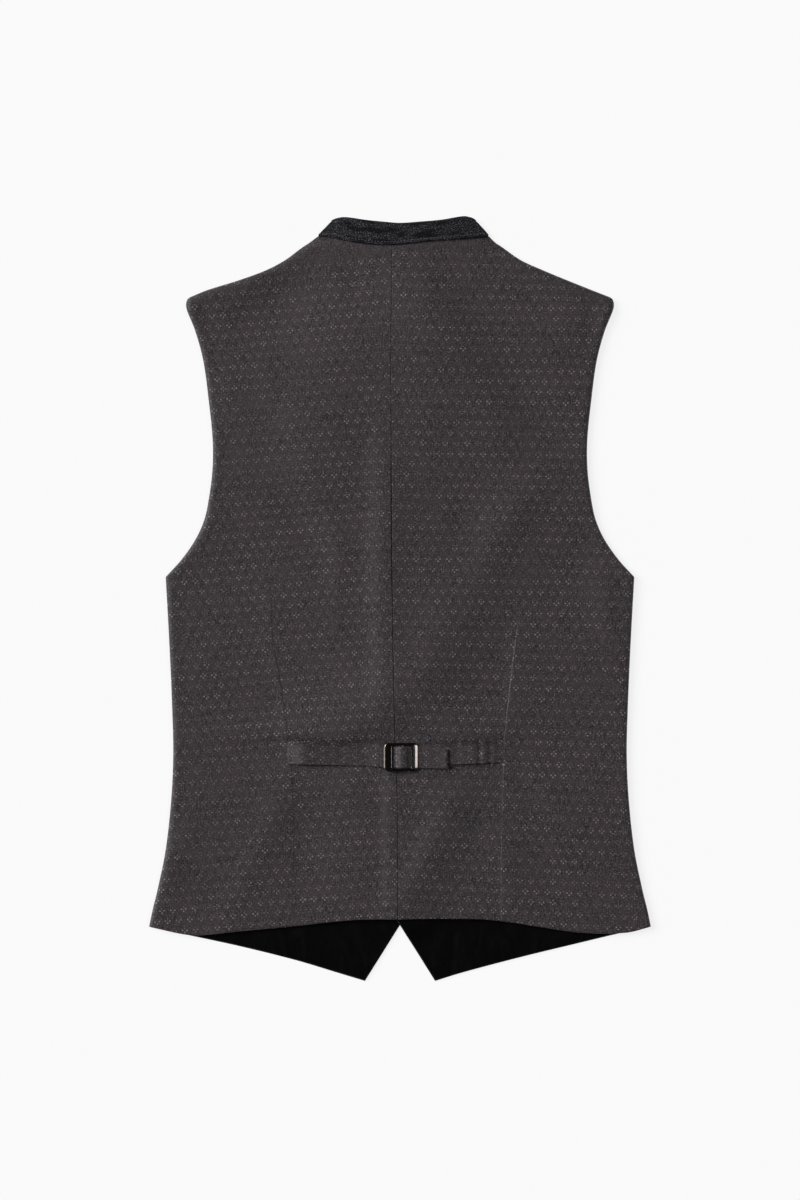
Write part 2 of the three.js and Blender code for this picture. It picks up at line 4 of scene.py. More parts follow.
import bpy
import numpy as np
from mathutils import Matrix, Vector


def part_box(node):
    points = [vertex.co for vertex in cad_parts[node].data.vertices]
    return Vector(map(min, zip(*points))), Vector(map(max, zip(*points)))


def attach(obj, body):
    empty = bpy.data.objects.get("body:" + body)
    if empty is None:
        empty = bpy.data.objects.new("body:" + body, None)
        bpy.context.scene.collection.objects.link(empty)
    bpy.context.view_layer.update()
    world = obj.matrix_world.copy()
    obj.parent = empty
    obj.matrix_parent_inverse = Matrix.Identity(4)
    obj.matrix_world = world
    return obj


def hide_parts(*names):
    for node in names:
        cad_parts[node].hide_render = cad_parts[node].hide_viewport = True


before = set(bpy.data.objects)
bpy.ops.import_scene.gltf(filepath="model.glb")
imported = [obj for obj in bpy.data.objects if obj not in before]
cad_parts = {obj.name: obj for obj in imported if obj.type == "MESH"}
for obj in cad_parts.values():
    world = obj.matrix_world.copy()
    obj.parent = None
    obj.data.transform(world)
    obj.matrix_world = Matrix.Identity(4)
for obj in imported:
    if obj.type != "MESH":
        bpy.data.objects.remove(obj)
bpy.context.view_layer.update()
print("frame loaded:", len(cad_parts), "pieces")

# A vest laid flat on its front. Tables are in millimetres, meshes in metres.
# +Y runs to the collar, +Z is up, and the wearer's left is at -X.
mm = 0.001

vest = {
    "gap": 0.3,  # between pieces that touch
    "pitY": 22.3,  # bottom of the armhole
    "tipY": 296.7,  # and its top, at the shoulder
    "wrap": 17.0,  # each front's edge past the centre line
    "wrapEndY": -292.0,  # the front edges turn from straight to slanting here
    "frontTip": (34.4, -374.0),
    "frontCloth": 1.2,
    "backCloth": 1.2,
    "facingCloth": 1.0,
    "collarCloth": 1.8,
    "collarFold": 1.35,  # inner radius where the collar turns back at its two ends
    "collarProud": 0.8,  # the collar's middle over the back's upper face
    "buttonLift": 2.3,  # the left front over its button heads
    "slack": 0.6,  # the overlap is pressed less flat than the rest
    "loft": 3.8,  # of the back over the fronts
    "seamFall": 1.0,
}

# half width at the side seam and round the armhole: height, half width
sideSeam = [(-320.3, 246), (-304, 242.6), (-284, 237.7), (-245, 229.8), (-196, 224.4), (-152, 222.4),
            (-108, 223.4), (-49, 225.9), (22.3, 229.8)]
armhole = [(22.3, 229.8), (39, 214.6), (58.6, 200.9), (78, 192.1), (98, 187.7), (127, 184), (157, 183.8),
           (196, 187.7), (235, 193.1), (264, 201), (284, 209), (290, 209.8), (294, 208.6), (296.7, 205.8)]
centreBackSeam = [(-313.3, -1.8), (-255, -1.8), (-176, -2.8), (-135, -4.7), (-49, -6.4), (26, -7.3),
                  (166, -8.3), (279, -8.3), (347.3, -7.5)]
# shoulder, neck and hem lines: across, height; -1 is the wearer's left side and 1 the right
shoulder = {
    -1: [(-205.8, 296.7), (-189.1, 303.6), (-157.8, 313.4), (-131.3, 323.2), (-112.7, 333), (-92.1, 346.7),
         (-80.9, 353.7)],
    1: [(87.6, 353.7), (99, 346.7), (118.6, 333), (140.1, 323.2), (163.7, 313.4), (188.2, 303.6),
        (205.8, 296.7)],
}
neckPoint = {-1: shoulder[-1][-1], 1: shoulder[1][0]}
neckSeam = [(-80.2, 356.6), (-68.6, 355), (-58.8, 352.8), (-46.6, 350), (-34.3, 348.2), (-19.6, 347.1),
            (0, 347.6), (18.4, 349.6), (38, 351.3), (61.3, 353.2), (77.8, 355.1), (87.4, 356.4)]
# the back's shoulders rise beside the collar
backShoulder = {-1: shoulder[-1][:-2] + [(-97, 344.6), (-88.3, 350.4), neckSeam[0]],
                1: [neckSeam[-1], (91.5, 351.9), (99, 345.9)] + shoulder[1][2:]}
backHem = [(-246, -320.3), (-210.2, -328), (-192.1, -328.5), (-155.8, -324.8), (-106.9, -320.3),
           (-56.2, -314.8), (-29, -313.3), (71.1, -312.8), (107.3, -315.8), (134.5, -320.3), (178, -326.2),
           (221.5, -326.2), (246, -320.3)]
frontHem = {
    -1: [(-246, -320.3), (-210.2, -328.4), (-155.8, -340.2), (-101.4, -353.8), (-60.2, -366.2), (-34.4, -374)],
    1: [(34.4, -374), (60.2, -366), (116.3, -351.1), (179.7, -335.7), (210.2, -328.4), (246, -320.3)],
}
neckLine = {-1: 78.8, 1: 85.6, "y": 354.9, "depth": 72.9}  # of the fronts and their collar: half widths first
# the long darts of the back: height, place across
dart = {
    -1: [(-320, -103.9), (-240, -104.6), (-168, -105.8), (-139.4, -109.8), (-117.8, -111.7), (-78.6, -117.4),
         (-43.4, -123.6), (-20, -125.4), (10.5, -127.4)],
    1: [(-318, 99), (-255, 99), (-171.7, 100.9), (-139.4, 101.9), (-49.2, 111.7), (-10.2, 117.4)],
}
hand = {-1: "left", 1: "right"}


def along(rows, at):
    # a smooth curve through a table's rows, read at many places
    keys, values = np.array(rows, float).T
    slopes = np.empty(len(keys))
    slopes[1:-1] = (values[2:] - values[:-2]) / (keys[2:] - keys[:-2])
    slopes[0] = (values[1] - values[0]) / (keys[1] - keys[0])
    slopes[-1] = (values[-1] - values[-2]) / (keys[-1] - keys[-2])
    at = np.clip(at, keys[0], keys[-1])
    i = np.clip(np.searchsorted(keys, at, side="right") - 1, 0, len(keys) - 2)
    span = keys[i + 1] - keys[i]
    t = (at - keys[i]) / span
    ends = values[i] * (1 + 2 * t) * (1 - t) ** 2 + values[i + 1] * (3 - 2 * t) * t ** 2
    return ends + slopes[i] * span * t * (1 - t) ** 2 - slopes[i + 1] * span * t ** 2 * (1 - t)


def mix(a, b, t):
    return a + (b - a) * t


def ease(value, start, end):
    # 0 up to start, 1 from end on
    t = np.clip((value - start) / (end - start), 0, 1)
    return t * t * (3 - 2 * t)


def band(value, start, end, fall):
    return ease(value, start - fall, start) * (1 - ease(value, end, end + fall))


def wander(x, y, seed, waves):
    # gentle unevenness, about -1 to 1: plane waves of the lengths given, in random directions
    rng = random.Random(seed)
    total = 0
    for length in waves:
        turn, phase = rng.uniform(0, math.tau), rng.uniform(0, math.tau)
        total = total + np.sin((x * math.cos(turn) + y * math.sin(turn)) * math.tau / length + phase)
    return total / math.sqrt(len(waves))


# how the layers lie

frontStack = vest["frontCloth"] + vest["facingCloth"] + 2 * vest["gap"]


def slantX(side, y):
    down = (vest["wrapEndY"] - y) / (vest["wrapEndY"] - vest["frontTip"][1])
    return side * mix(-vest["wrap"], vest["frontTip"][0], down)


def leftFrontZ(x, y):
    return vest["buttonLift"] * ease(x, -50, -24) * band(y, -266, 400, 56)


def rightFrontZ(x, y):
    edge = np.where(y < vest["wrapEndY"], slantX(-1, y), vest["wrap"])
    onLeft = leftFrontZ(np.minimum(x, vest["wrap"]), y) + frontStack + vest["slack"]
    return onLeft * (1 - ease(x, edge + 14, edge + 42)) * (1 - ease(-y, 318, 350))


def frontZ(side, x, y):
    return leftFrontZ(x, y) if side < 0 else rightFrontZ(x, y)


def halfWidth(y):
    held = np.clip(y, sideSeam[0][0], 284)
    return np.where(held < vest["pitY"], along(sideSeam, held), along(armhole, held))


def underShoulder(x, y):
    # how far a point lies inside the shoulder seam, which is carried on over the neck
    seam = np.where(x < 0, along(shoulder[-1], x), along(shoulder[1], x))
    past = np.where(x < 0, -neckPoint[-1][0], neckPoint[1][0]) - np.abs(x)
    line = np.where(past > 0, neckPoint[1][1] + 0.6 * past, seam)
    return np.maximum(0, (line - y) * 0.88)


# Soft ridges and troughs of the back: start, middle and end of each, its widths on the right and left hand of the
# run, how much it has widened by its end, and its rise.
backFolds = [
    # shoulders and armholes
    (-70, 326, -122, 292, -178, 246, 22, 40, 1.0, -4.2),
    (-193, 297, -191, 275, -190, 252, 8, 10, 1.0, -1.0),
    (-176, 236, -166, 200, -160, 165, 12, 12, 1.0, 1.2),
    (-118, 245, -117, 225, -114, 200, 12, 18, 1.0, -0.9),
    (-46, 330, -46, 308, -45, 286, 9, 9, 1.0, -1.0),
    (-4, 338, 40, 270, 100, 168, 40, 20, 1.0, 4.2),
    (54, 312, 104, 232, 156, 146, 17, 24, 1.2, -2.2),
    (8, 285, 22, 262, 36, 236, 8, 9, 1.0, 0.35),
    (173, 302, 174, 274, 172, 246, 30, 7, 1.0, 1.2),
    (186, 300, 185, 275, 183, 250, 7, 10, 1.0, -0.8),
    # between the armholes and the belt
    (-104, 210, -88, 140, -80, 78, 28, 46, 1.0, 3.2),
    (-128, 118, -98, 78, -74, 30, 16, 16, 1.0, -2.4),
    (-62, 72, -60, 20, -58, -60, 12, 9, 1.0, 0.9),
    (-14, 165, -14, 40, -15, -85, 19, 20, 1.0, 2.2),
    (152, 130, 106, 78, 72, 2, 20, 19, 1.1, 3.2),
    (80, 22, 42, -44, 2, -124, 26, 24, 1.4, 3.8),
    (55, 90, 56, 78, 56, 66, 9, 9, 1.0, -0.8),
    (30, 56, 33, 46, 36, 36, 9, 9, 1.0, -0.7),
    (-3, 24, -5, 15, -8, 6, 9, 8, 1.0, -0.8),
    (98, -16, 96, -70, 93, -128, 30, 13, 1.0, -1.4),
    (190, 88, 170, 42, 158, 0, 12, 26, 1.0, -1.3),
    (198, 44, 206, -15, 214, -72, 14, 7, 1.0, 1.8),
    (-124, -132, -65, -136, -6, -135, 4.2, 30, 1.0, 4.6),
    (8, -138.5, 56, -137, 106, -133.5, 3.2, 26, 1.0, 3.8),
    (-14, -58, -13, -98, -12, -138, 64, 40, 1.0, 5.4),
    (-214, -136, -165, -133, -116, -131, 9, 9, 1.0, 0.8),
    # below the belt
    (-95, -186, -58, -188, -18, -186, 20, 9, 1.0, 0.7),
    (14, -184, 38, -192, 62, -200, 22, 12, 1.0, 0.9),
    (-98, -176, -93, -238, -104, -340, 19, 30, 1.0, -2.4),
    (-112, -178, -136, -240, -182, -340, 14, 15, 1.0, 1.8),
    (-202, -206, -216, -246, -244, -330, 12, 12, 1.0, 1.3),
    (98, -168, 66, -224, 22, -350, 24, 16, 1.25, -1.8),
    (82, -172, 38, -232, -16, -350, 15, 27, 1.2, 4.0),
    (97, -222, 106, -262, 120, -350, 14, 14, 1.0, 2.0),
    (148, -232, 162, -268, 188, -344, 12, 14, 1.0, 1.3),
    (136, -164, 164, -212, 222, -266, 15, 9, 1.0, 3.4),
]


def foldRelief(x, y, folds):
    steps = 8
    total = np.zeros_like(x)
    for x0, y0, x1, y1, x2, y2, rightWidth, leftWidth, widening, rise in folds:
        share = np.linspace(0, 1, steps + 1)
        line = np.outer((1 - share) * (1 - 2 * share), (x0, y0)) + np.outer(4 * share * (1 - share), (x1, y1)) \
            + np.outer(share * (2 * share - 1), (x2, y2))
        nearest = np.full(x.shape, 1e9)
        signed, where = np.zeros_like(x), np.zeros_like(x)
        for k in range(steps):
            (ax, ay), (bx, by) = line[k], line[k + 1]
            dx, dy = bx - ax, by - ay
            length = math.hypot(dx, dy)
            t = np.clip(((x - ax) * dx + (y - ay) * dy) / length ** 2, 0, 1)
            distance = np.hypot(x - ax - t * dx, y - ay - t * dy)
            cross = ((y - ay) * dx - (x - ax) * dy) / length
            closer = distance < nearest
            nearest = np.where(closer, distance, nearest)
            signed = np.where(closer, cross, signed)
            where = np.where(closer, (k + t) / steps, where)
        turn = np.clip(signed / np.maximum(nearest, 1e-6), -1, 1)
        width = mix(rightWidth, leftWidth, 0.5 + 0.5 * turn) * mix(1, widening, where)
        taper = 0.2 + 0.8 * np.sin(np.pi * where) ** 1.3
        total += rise * taper * np.exp(-(nearest / width) ** 2)
    return total


buckleLow, buckleHigh = (np.array(corner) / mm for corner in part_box("buckle"))
buckleX, buckleY = (buckleLow + buckleHigh)[:2] / 2
seatZ = buckleLow[2] - 2.4  # the cloth under the buckle: its bar hangs 2.4 over it


def backLoose(x, y):
    offSide = np.maximum(0, halfWidth(y) - np.abs(x))
    offShoulder = underShoulder(x, y)
    free = (1 - np.exp(-offSide / vest["seamFall"])) * (1 - np.exp(-offShoulder / vest["seamFall"]))
    shift = 4 * ease(-y, 140, 180)
    steep = 0.42 * (1 - ease(y, 130, 230))
    climb = steep * ease(x, -40 + 4.5 * shift, -14 + 1.25 * shift) + (1 - steep) * ease(x, -190, -15)
    fall = 0.3 * ease(x, 20, 74) + 0.7 * ease(x, 40, 190)
    crown = climb * (1 - fall) * (1 - 0.6 * ease(y, 250, 340))
    stack = leftFrontZ(np.zeros_like(x), y) + 2 * frontStack + vest["slack"] + vest["gap"]
    nearBuckle = np.exp(-np.hypot((x - buckleX) / 34, (y - buckleY) / 24) ** 2)
    bends = 0.8 * foldRelief(x, y, backFolds) + 0.22 * wander(x, y, 3, [150, 118, 92, 74, 61]) \
        + 0.05 * wander(x, y, 8, [41, 33, 27, 22])
    bends = np.maximum(bends, -3.2 + 0.9 * ease(-y, 250, 285))
    bends = mix(bends, 0.0, nearBuckle)
    bend = np.where(bends > 0, bends, bends * (1 - ease(x, -40, -20) * (1 - ease(x, 30, 58))))
    droop = 0.4 * np.exp(-offSide / 5) * band(y, 60, 250, 30)
    offNeckPoint = np.hypot(x - np.where(x < 0, neckPoint[-1][0], neckPoint[1][0]), y - neckPoint[1][1])
    overCollar = (vest["collarCloth"] - vest["frontCloth"]) * np.exp(-offNeckPoint / 12)
    overFronts = vest["frontCloth"] + vest["gap"] + overCollar + free * (vest["loft"] + bend)
    return overFronts + crown * free * np.maximum(0, stack - vest["frontCloth"] - vest["loft"]) - droop


neckCentreZ = float(backLoose(np.array(0.0), np.array(345.0))) + vest["backCloth"] + vest["collarProud"]
neckEndZ = vest["collarCloth"] / 2 + 2 * vest["collarFold"]


def collarZ(x):
    # the collar's middle round the back of the neck: it climbs from its two folds
    share = np.clip((neckLine[1] - x) / (neckLine[1] + neckLine[-1]), 0, 1)
    return mix(neckEndZ, neckCentreZ, np.sin(np.pi * share) ** 0.7)


def backUnder(x, y):
    # the back's lower face, drawn to the collar at the neck
    loose = backLoose(x, y)
    sewn = collarZ(x) - vest["collarProud"] - vest["backCloth"]
    return mix(loose, np.minimum(loose, sewn), np.exp(-np.maximum(0, along(neckSeam, x) - y) / 13))


backSurface = {
    "seamDrop": 1.3,  # the left panel turns down and runs on under the right one
    "seamRoll": 0.5,  # the width of the turn
    "seamPull": 0.7,  # wider where the back is drawn in
    "seamAllowance": 6.0,
    "dartStep": 0.42,  # the fold edge of each dart stands over the cloth beside it
    "dartAllowance": 9.0,
    "edgeAllowance": 10.0,  # turned in at the armholes, shoulders and neck
    "hemDepth": 27.0,
    "pucker": 0.10,
}


def pucker(run, seed):
    # short uneven waves that a line of sewing leaves in the cloth beside it
    rng = random.Random(seed)
    total = 0
    for length in (31, 19.5, 13.2, 8.7):
        total = total + np.sin(run * math.tau / length + rng.uniform(0, math.tau))
    return total / 2


def backDetail(side, x, y, offEdge):
    s = backSurface
    offSeam = x - along(centreBackSeam, y)
    off = np.abs(offSeam)
    detail = s["pucker"] * np.exp(-off / 7) * pucker(y, 11)
    if side < 0:
        roll = s["seamRoll"] + s["seamPull"] * band(y, 20, 120, 25) + 0.12 * pucker(y, 12)
        detail -= s["seamDrop"] * ease(offSeam, -0.1 - roll, 0.0)
    for dartSide, seed in ((-1, 21), (1, 22)):
        top = dart[dartSide][-1][0]
        offDart = (x - along(dart[dartSide], y)) * dartSide  # positive away from the centre
        sewn = ease(top - y, 0, 26)
        pressed = ease(offDart, -0.45, 0.45) * (1 - ease(offDart, 1.5, s["dartAllowance"] + 4))
        detail += s["dartStep"] * sewn * pressed * (0.6 + 0.4 * ease(y, -190, -165))
        detail += s["pucker"] * ease(top - y, -14, 14) * np.exp(-np.abs(offDart) / 7) * pucker(y, seed)
    turned = 1 - ease(offEdge, s["edgeAllowance"] - 2, s["edgeAllowance"] + 3)
    hem = along(backHem, x)
    turnedUp = 1 - ease(y - hem, s["hemDepth"] - 2, s["hemDepth"] + 3)
    detail += 0.2 * np.maximum(turned * ease(y, -290, -260), turnedUp)
    detail += s["pucker"] * 0.8 * np.exp(-offEdge / 8) * pucker(x + y, 31)
    return detail


def backTop(x, y):
    # the back's upper face away from its edges
    return backUnder(x, y) + vest["backCloth"] + backDetail(1, x, y, np.full(np.shape(x), 50.0))


# meshes

panelLength = 668.0  # about, of every long panel: it spaces the grids
edgeLines = [0, 0.1, 0.3, 0.6, 1.0, 1.6, 2.6]  # extra grid lines where an edge turns over


def runOf(points):
    # the distance along a line of points up to each of them
    return np.concatenate([[0], np.cumsum(np.linalg.norm(np.diff(points, axis=0), axis=1))])


def gridShares(length, cell, near=(), far=()):
    # places from 0 to 1 along a stretch of a length in mm, closer together at its ends
    near, far = list(near) or [0], list(far) or [0]
    start, end = near[-1], length - far[-1]
    count = max(1, round((end - start) / cell))
    inner = np.linspace(start, end, count + 1)[1:-1]
    return np.array(near + list(inner) + [length - f for f in reversed(far)]) / length


def layOut(guides, hem, top, across, up):
    # the cut of a panel: each strip between two guides is blended from its four edges
    grid = np.empty((len(up), len(across), 2))
    strip = np.clip(np.floor(across).astype(int), 0, len(guides) - 2)
    v = np.asarray(up)[:, None, None]
    for k in range(len(guides) - 1):
        columns = np.where(strip == k)[0]
        if not len(columns):
            continue
        u = (np.asarray(across)[columns] - k)[None, :, None]
        left, right = guides[k](np.asarray(up)), guides[k + 1](np.asarray(up))
        ends = [guide(np.array([0.0, 1.0])) for guide in (guides[k], guides[k + 1])]
        low, high = hem(k, u[0, :, 0], ends), top(k, u[0, :, 0], ends)
        corner = ((1 - u) * (1 - v) * ends[0][0] + u * (1 - v) * ends[1][0]
                  + (1 - u) * v * ends[0][1] + u * v * ends[1][1])
        grid[:, columns] = ((1 - u) * left[:, None] + u * right[:, None] + (1 - v) * low[None]
                            + v * high[None] - corner)
    return grid


def distanceTo(points, starts, ends):
    # from each point to the nearest of many short segments
    run = ends - starts
    length = np.maximum((run ** 2).sum(1), 1e-12)
    flat = points.reshape(-1, 3)
    result = np.empty(len(flat))
    for first in range(0, len(flat), 1500):
        part = flat[first:first + 1500, None] - starts[None]
        t = np.clip((part * run).sum(2) / length, 0, 1)
        result[first:first + 1500] = np.sqrt(((part - t[..., None] * run) ** 2).sum(2).min(1))
    return result.reshape(points.shape[:-1])


def heldBy(keep):
    # for each grid corner, how many of its four cells are cloth
    padded = np.pad(keep.astype(int), 1)
    return padded[1:, 1:] + padded[:-1, 1:] + padded[1:, :-1] + padded[:-1, :-1]


def edgeDistance(middle, keep):
    padded = np.pad(keep, 1)
    flat = np.argwhere(padded[1:, 1:-1] != padded[:-1, 1:-1])  # edges that run across
    upright = np.argwhere(padded[1:-1, 1:] != padded[1:-1, :-1])
    starts = [middle[i, j] for i, j in flat] + [middle[i, j] for i, j in upright]
    ends = [middle[i, j + 1] for i, j in flat] + [middle[i + 1, j] for i, j in upright]
    return distanceTo(middle, np.array(starts), np.array(ends))


def rounded(distance, thick, radius):
    # half the cloth's thickness, which runs out round at its edges
    inside = np.clip(distance / radius, 0, 1)
    return thick / 2 * np.sqrt(1 - (1 - inside) ** 2)


def meshFrom(name, points, faces, cuts=None):
    mesh = bpy.data.meshes.new(name)
    mesh.from_pydata((np.asarray(points) * mm).tolist(), [], faces)
    if cuts is not None:  # the cloth's own coordinates, in metres along its threads
        layer = mesh.uv_layers.new(name="cut")
        layer.data.foreach_set("uv", (np.asarray(cuts) * mm).astype(np.float32).ravel())
    mesh.shade_smooth()
    mesh.validate()
    return mesh


def sheetMesh(name, top, bottom, keep, cuts):
    # a closed skin over both faces of a grid; top and bottom share their corners at every edge.
    # cuts(i, j, column) gives a corner's place in the cloth, seen from its cell's column.
    held = heldBy(keep)
    used, edge = held > 0, (held > 0) & (held < 4)
    topIndex = np.full(held.shape, -1)
    topIndex[used] = np.arange(used.sum())
    lowerOnly = used & ~edge
    bottomIndex = np.where(edge, topIndex, -1)
    bottomIndex[lowerOnly] = used.sum() + np.arange(lowerOnly.sum())
    points = np.concatenate([np.where(edge[..., None], (top + bottom) / 2, top)[used], bottom[lowerOnly]])
    i, j = np.nonzero(keep)
    around = [(0, 0), (0, 1), (1, 1), (1, 0)]
    upper = np.stack([topIndex[i + a, j + b] for a, b in around], 1)
    lower = np.stack([bottomIndex[i + a, j + b] for a, b in around[::-1]], 1)
    upperCuts = np.stack([cuts(i + a, j + b, j) for a, b in around], 1)
    lowerCuts = np.stack([cuts(i + a, j + b, j) for a, b in around[::-1]], 1)
    faces = np.concatenate([upper, lower]).tolist()
    return meshFrom(name, points, faces, np.concatenate([upperCuts, lowerCuts]).reshape(-1, 2))


def addPiece(mesh, nodes, slot, material):
    piece = bpy.data.objects.new(mesh.name, mesh)
    bpy.context.scene.collection.objects.link(piece)
    mesh.materials.append(material)
    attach(piece, "root")
    if nodes:
        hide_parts(*nodes)
    return piece


# materials


def linear(colour):
    # an sRGB hex colour as linear RGBA
    parts = [int(colour[i:i + 2], 16) / 255 for i in (1, 3, 5)]
    return [p / 12.92 if p <= 0.04045 else ((p + 0.055) / 1.055) ** 2.4 for p in parts] + [1.0]


def nodeAdder(tree):
    # adds a node with its inputs, which are values or other nodes' outputs, and its settings
    def add(kind, inputs=None, out=0, **settings):
        made = tree.nodes.new("ShaderNode" + kind)
        for name, value in settings.items():
            setattr(made, name, value)
        for socket, value in (inputs or {}).items():
            if isinstance(value, bpy.types.NodeSocket):
                tree.links.new(value, made.inputs[socket])
            else:
                made.inputs[socket].default_value = value
        return made.outputs[out]
    return add


def newMaterial(name, shader):
    material = bpy.data.materials.new(name)
    material.use_nodes = True
    surface = material.node_tree.nodes["Principled BSDF"]
    for socket, value in shader.items():
        surface.inputs[socket].default_value = value
    return material, nodeAdder(material.node_tree)


def newCloth(name, shader):
    # with the place on the cloth in mm, along its threads
    material, add = newMaterial(name, shader)
    return material, add, add("VectorMath", {0: add("UVMap", uv_map="cut"), "Scale": 1000.0}, operation="SCALE")


def finishSurface(material, add, colour, roughness, height, depth):
    surface = material.node_tree.nodes["Principled BSDF"]
    bump = add("Bump", {"Height": height, "Distance": depth * mm, "Strength": 1.0})
    for socket, value in (("Base Color", colour), ("Roughness", roughness), ("Normal", bump)):
        material.node_tree.links.new(value, surface.inputs[socket])
    return material


jacquard = {
    "ground": "#19161b",
    # the lighter tone of the warp streaks: partly uneven yarn, partly painted sheen
    "yarnToneAndSheen": "#575053",
    "warm": "#453b3c",
    "figure": "#9c9095",
    "repeat": 10.7,  # mm between the small diamonds of a row
    "rowStep": 10.3,  # mm from row to row; every other row is moved by half a repeat
    "dotOut": 2.05,  # mm from a diamond's middle to its dots
    "dotSize": 0.98,
    "thread": 0.9,  # mm; real threads are 0.3 mm, drawn coarser so that they show
    "slub": 1.6,  # mm; uneven places in the yarn
}


def wovenJacquard():
    # Viscose jacquard in a satin weave: smooth warp floats give a soft, streaky sheen along the threads, which is
    # partly painted into the colour as lighter streaks; each small diamond is four spots of longer floats that
    # catch more light.
    j = jacquard
    material, add, inMm = newCloth("wovenViscoseJacquard", {
        "Specular IOR Level": 0.4, "Sheen Weight": 0.03, "Sheen Roughness": 0.5})
    drift = add("TexNoise", {"Vector": inMm, "Scale": 0.09, "Detail": 1.0}, "Color")
    moved = add("VectorMath", {0: drift, 1: (1.5, 1.5, 0), 2: inMm}, operation="MULTIPLY_ADD")
    x, y = (add("SeparateXYZ", {0: moved}, n) for n in (0, 1))
    row = add("Math", {0: add("Math", {0: y, 1: j["rowStep"]}, operation="DIVIDE")}, operation="FLOOR")
    odd = add("Math", {0: row, 1: 2.0}, operation="FLOORED_MODULO")
    shifted = add("Math", {0: odd, 1: j["repeat"] / 2, 2: x}, operation="MULTIPLY_ADD")
    aside = add("Math", {0: shifted, 1: j["repeat"] / 2}, operation="PINGPONG")
    above = add("Math", {0: row, 1: -j["rowStep"], 2: y}, operation="MULTIPLY_ADD")
    above = add("Math", {0: above, 1: j["rowStep"] / 2}, operation="SUBTRACT")
    corner = add("CombineXYZ", {0: aside, 1: add("Math", {0: above}, operation="ABSOLUTE")})
    sideDot = add("VectorMath", {0: corner, 1: (j["dotOut"], 0, 0)}, 1, operation="DISTANCE")
    endDot = add("VectorMath", {0: corner, 1: (0, j["dotOut"], 0)}, 1, operation="DISTANCE")
    isTop = add("Math", {0: above, 1: 0.0}, operation="GREATER_THAN")
    endDot = add("Math", {0: isTop, 1: 0.25, 2: endDot}, operation="MULTIPLY_ADD")
    nearest = add("Math", {0: sideDot, 1: endDot}, operation="MINIMUM")
    dots = add("MapRange", {"Value": nearest, "From Min": j["dotSize"], "From Max": 0.4},
               interpolation_type="SMOOTHSTEP")
    # each diamond is woven a little stronger or weaker
    cell = add("Math", {0: shifted, 1: j["repeat"] / 2}, operation="ADD")
    cell = add("Math", {0: add("Math", {0: cell, 1: j["repeat"]}, operation="DIVIDE")}, operation="FLOOR")
    chance = add("TexWhiteNoise", {"Vector": add("CombineXYZ", {0: cell, 1: row})}, "Value", noise_dimensions="2D")
    patchy = add("TexNoise", {"Vector": inMm, "Scale": 0.022, "Detail": 2.0})
    slub = add("TexNoise", {"Vector": inMm, "Scale": 1 / j["slub"], "Detail": 1.5})
    strength = add("MapRange", {"Value": chance, "To Min": 0.35, "To Max": 1.1})
    for value, start, end, low, high in (
            (patchy, 0.35, 0.62, 0.6, 1.1),
            (y, 338.0, 342.0, 1.0, 0.15),  # painted shade: the diamonds fade in the row beside the collar, which shades it
            (slub, 0.35, 0.6, 0.35, 1.25)):
        part = add("MapRange", {"Value": value, "From Min": start, "From Max": end, "To Min": low, "To Max": high})
        strength = add("Math", {0: strength, 1: part}, operation="MULTIPLY")
    figure = add("Math", {0: dots, 1: strength}, operation="MULTIPLY", use_clamp=True)
    fleck = add("MapRange", {"Value": slub, "From Min": 0.62, "From Max": 0.8, "To Max": 0.4})
    figure = add("Math", {0: figure, 1: fleck}, operation="MAXIMUM")
    # warp streaks run up the cloth, weft ones faintly across: uneven yarn, and painted sheen where they are
    # lighter
    warp, weft = (add("TexNoise", {"Detail": detail, "Roughness": roughness, "Scale": 1.0, "Vector": add(
        "VectorMath", {0: inMm, 1: scale}, operation="MULTIPLY")}) for detail, roughness, scale in (
        (3.0, 0.65, (1 / j["thread"], 1 / 9.0, 0)), (2.0, 0.5, (1 / 5.0, 1 / j["thread"], 0))))
    threads = add("Math", {0: weft, 1: 0.5, 2: warp}, operation="MULTIPLY_ADD")
    threads = add("Math", {0: slub, 1: 0.9, 2: threads}, operation="MULTIPLY_ADD")
    streakAndPaintedSheen = add("MapRange", {"Value": threads, "From Min": 1.05, "From Max": 1.4})
    hue = add("TexNoise", {"Vector": inMm, "Scale": 0.045, "Detail": 3.0})
    tint = add("MapRange", {"Value": hue, "From Min": 0.38, "From Max": 0.62, "To Max": 0.5})
    colour = linear(j["ground"])
    for share, other in ((streakAndPaintedSheen, "yarnToneAndSheen"), (tint, "warm"), (figure, "figure")):
        colour = add("Mix", {0: share, 6: colour, 7: linear(j[other])}, 2, data_type="RGBA")
    rough = add("MapRange", {"Value": streakAndPaintedSheen, "To Min": 0.62, "To Max": 0.5})
    rough = add("Math", {0: figure, 1: -0.12, 2: rough}, operation="MULTIPLY_ADD")
    relief = add("Math", {0: figure, 1: 0.5, 2: threads}, operation="MULTIPLY_ADD")
    return finishSurface(material, add, colour, rough, relief, 0.12)


nappedCloth = {
    "ground": "#232226",
    "fleck": "#a5a2ab",
    # the dark of rubbed streaks, which away from the wearer's right also carries painted nap shade
    "worn": "#141417",
    "fleckSize": 1.2,  # mm; single hairs are finer, drawn coarser so that they show
}


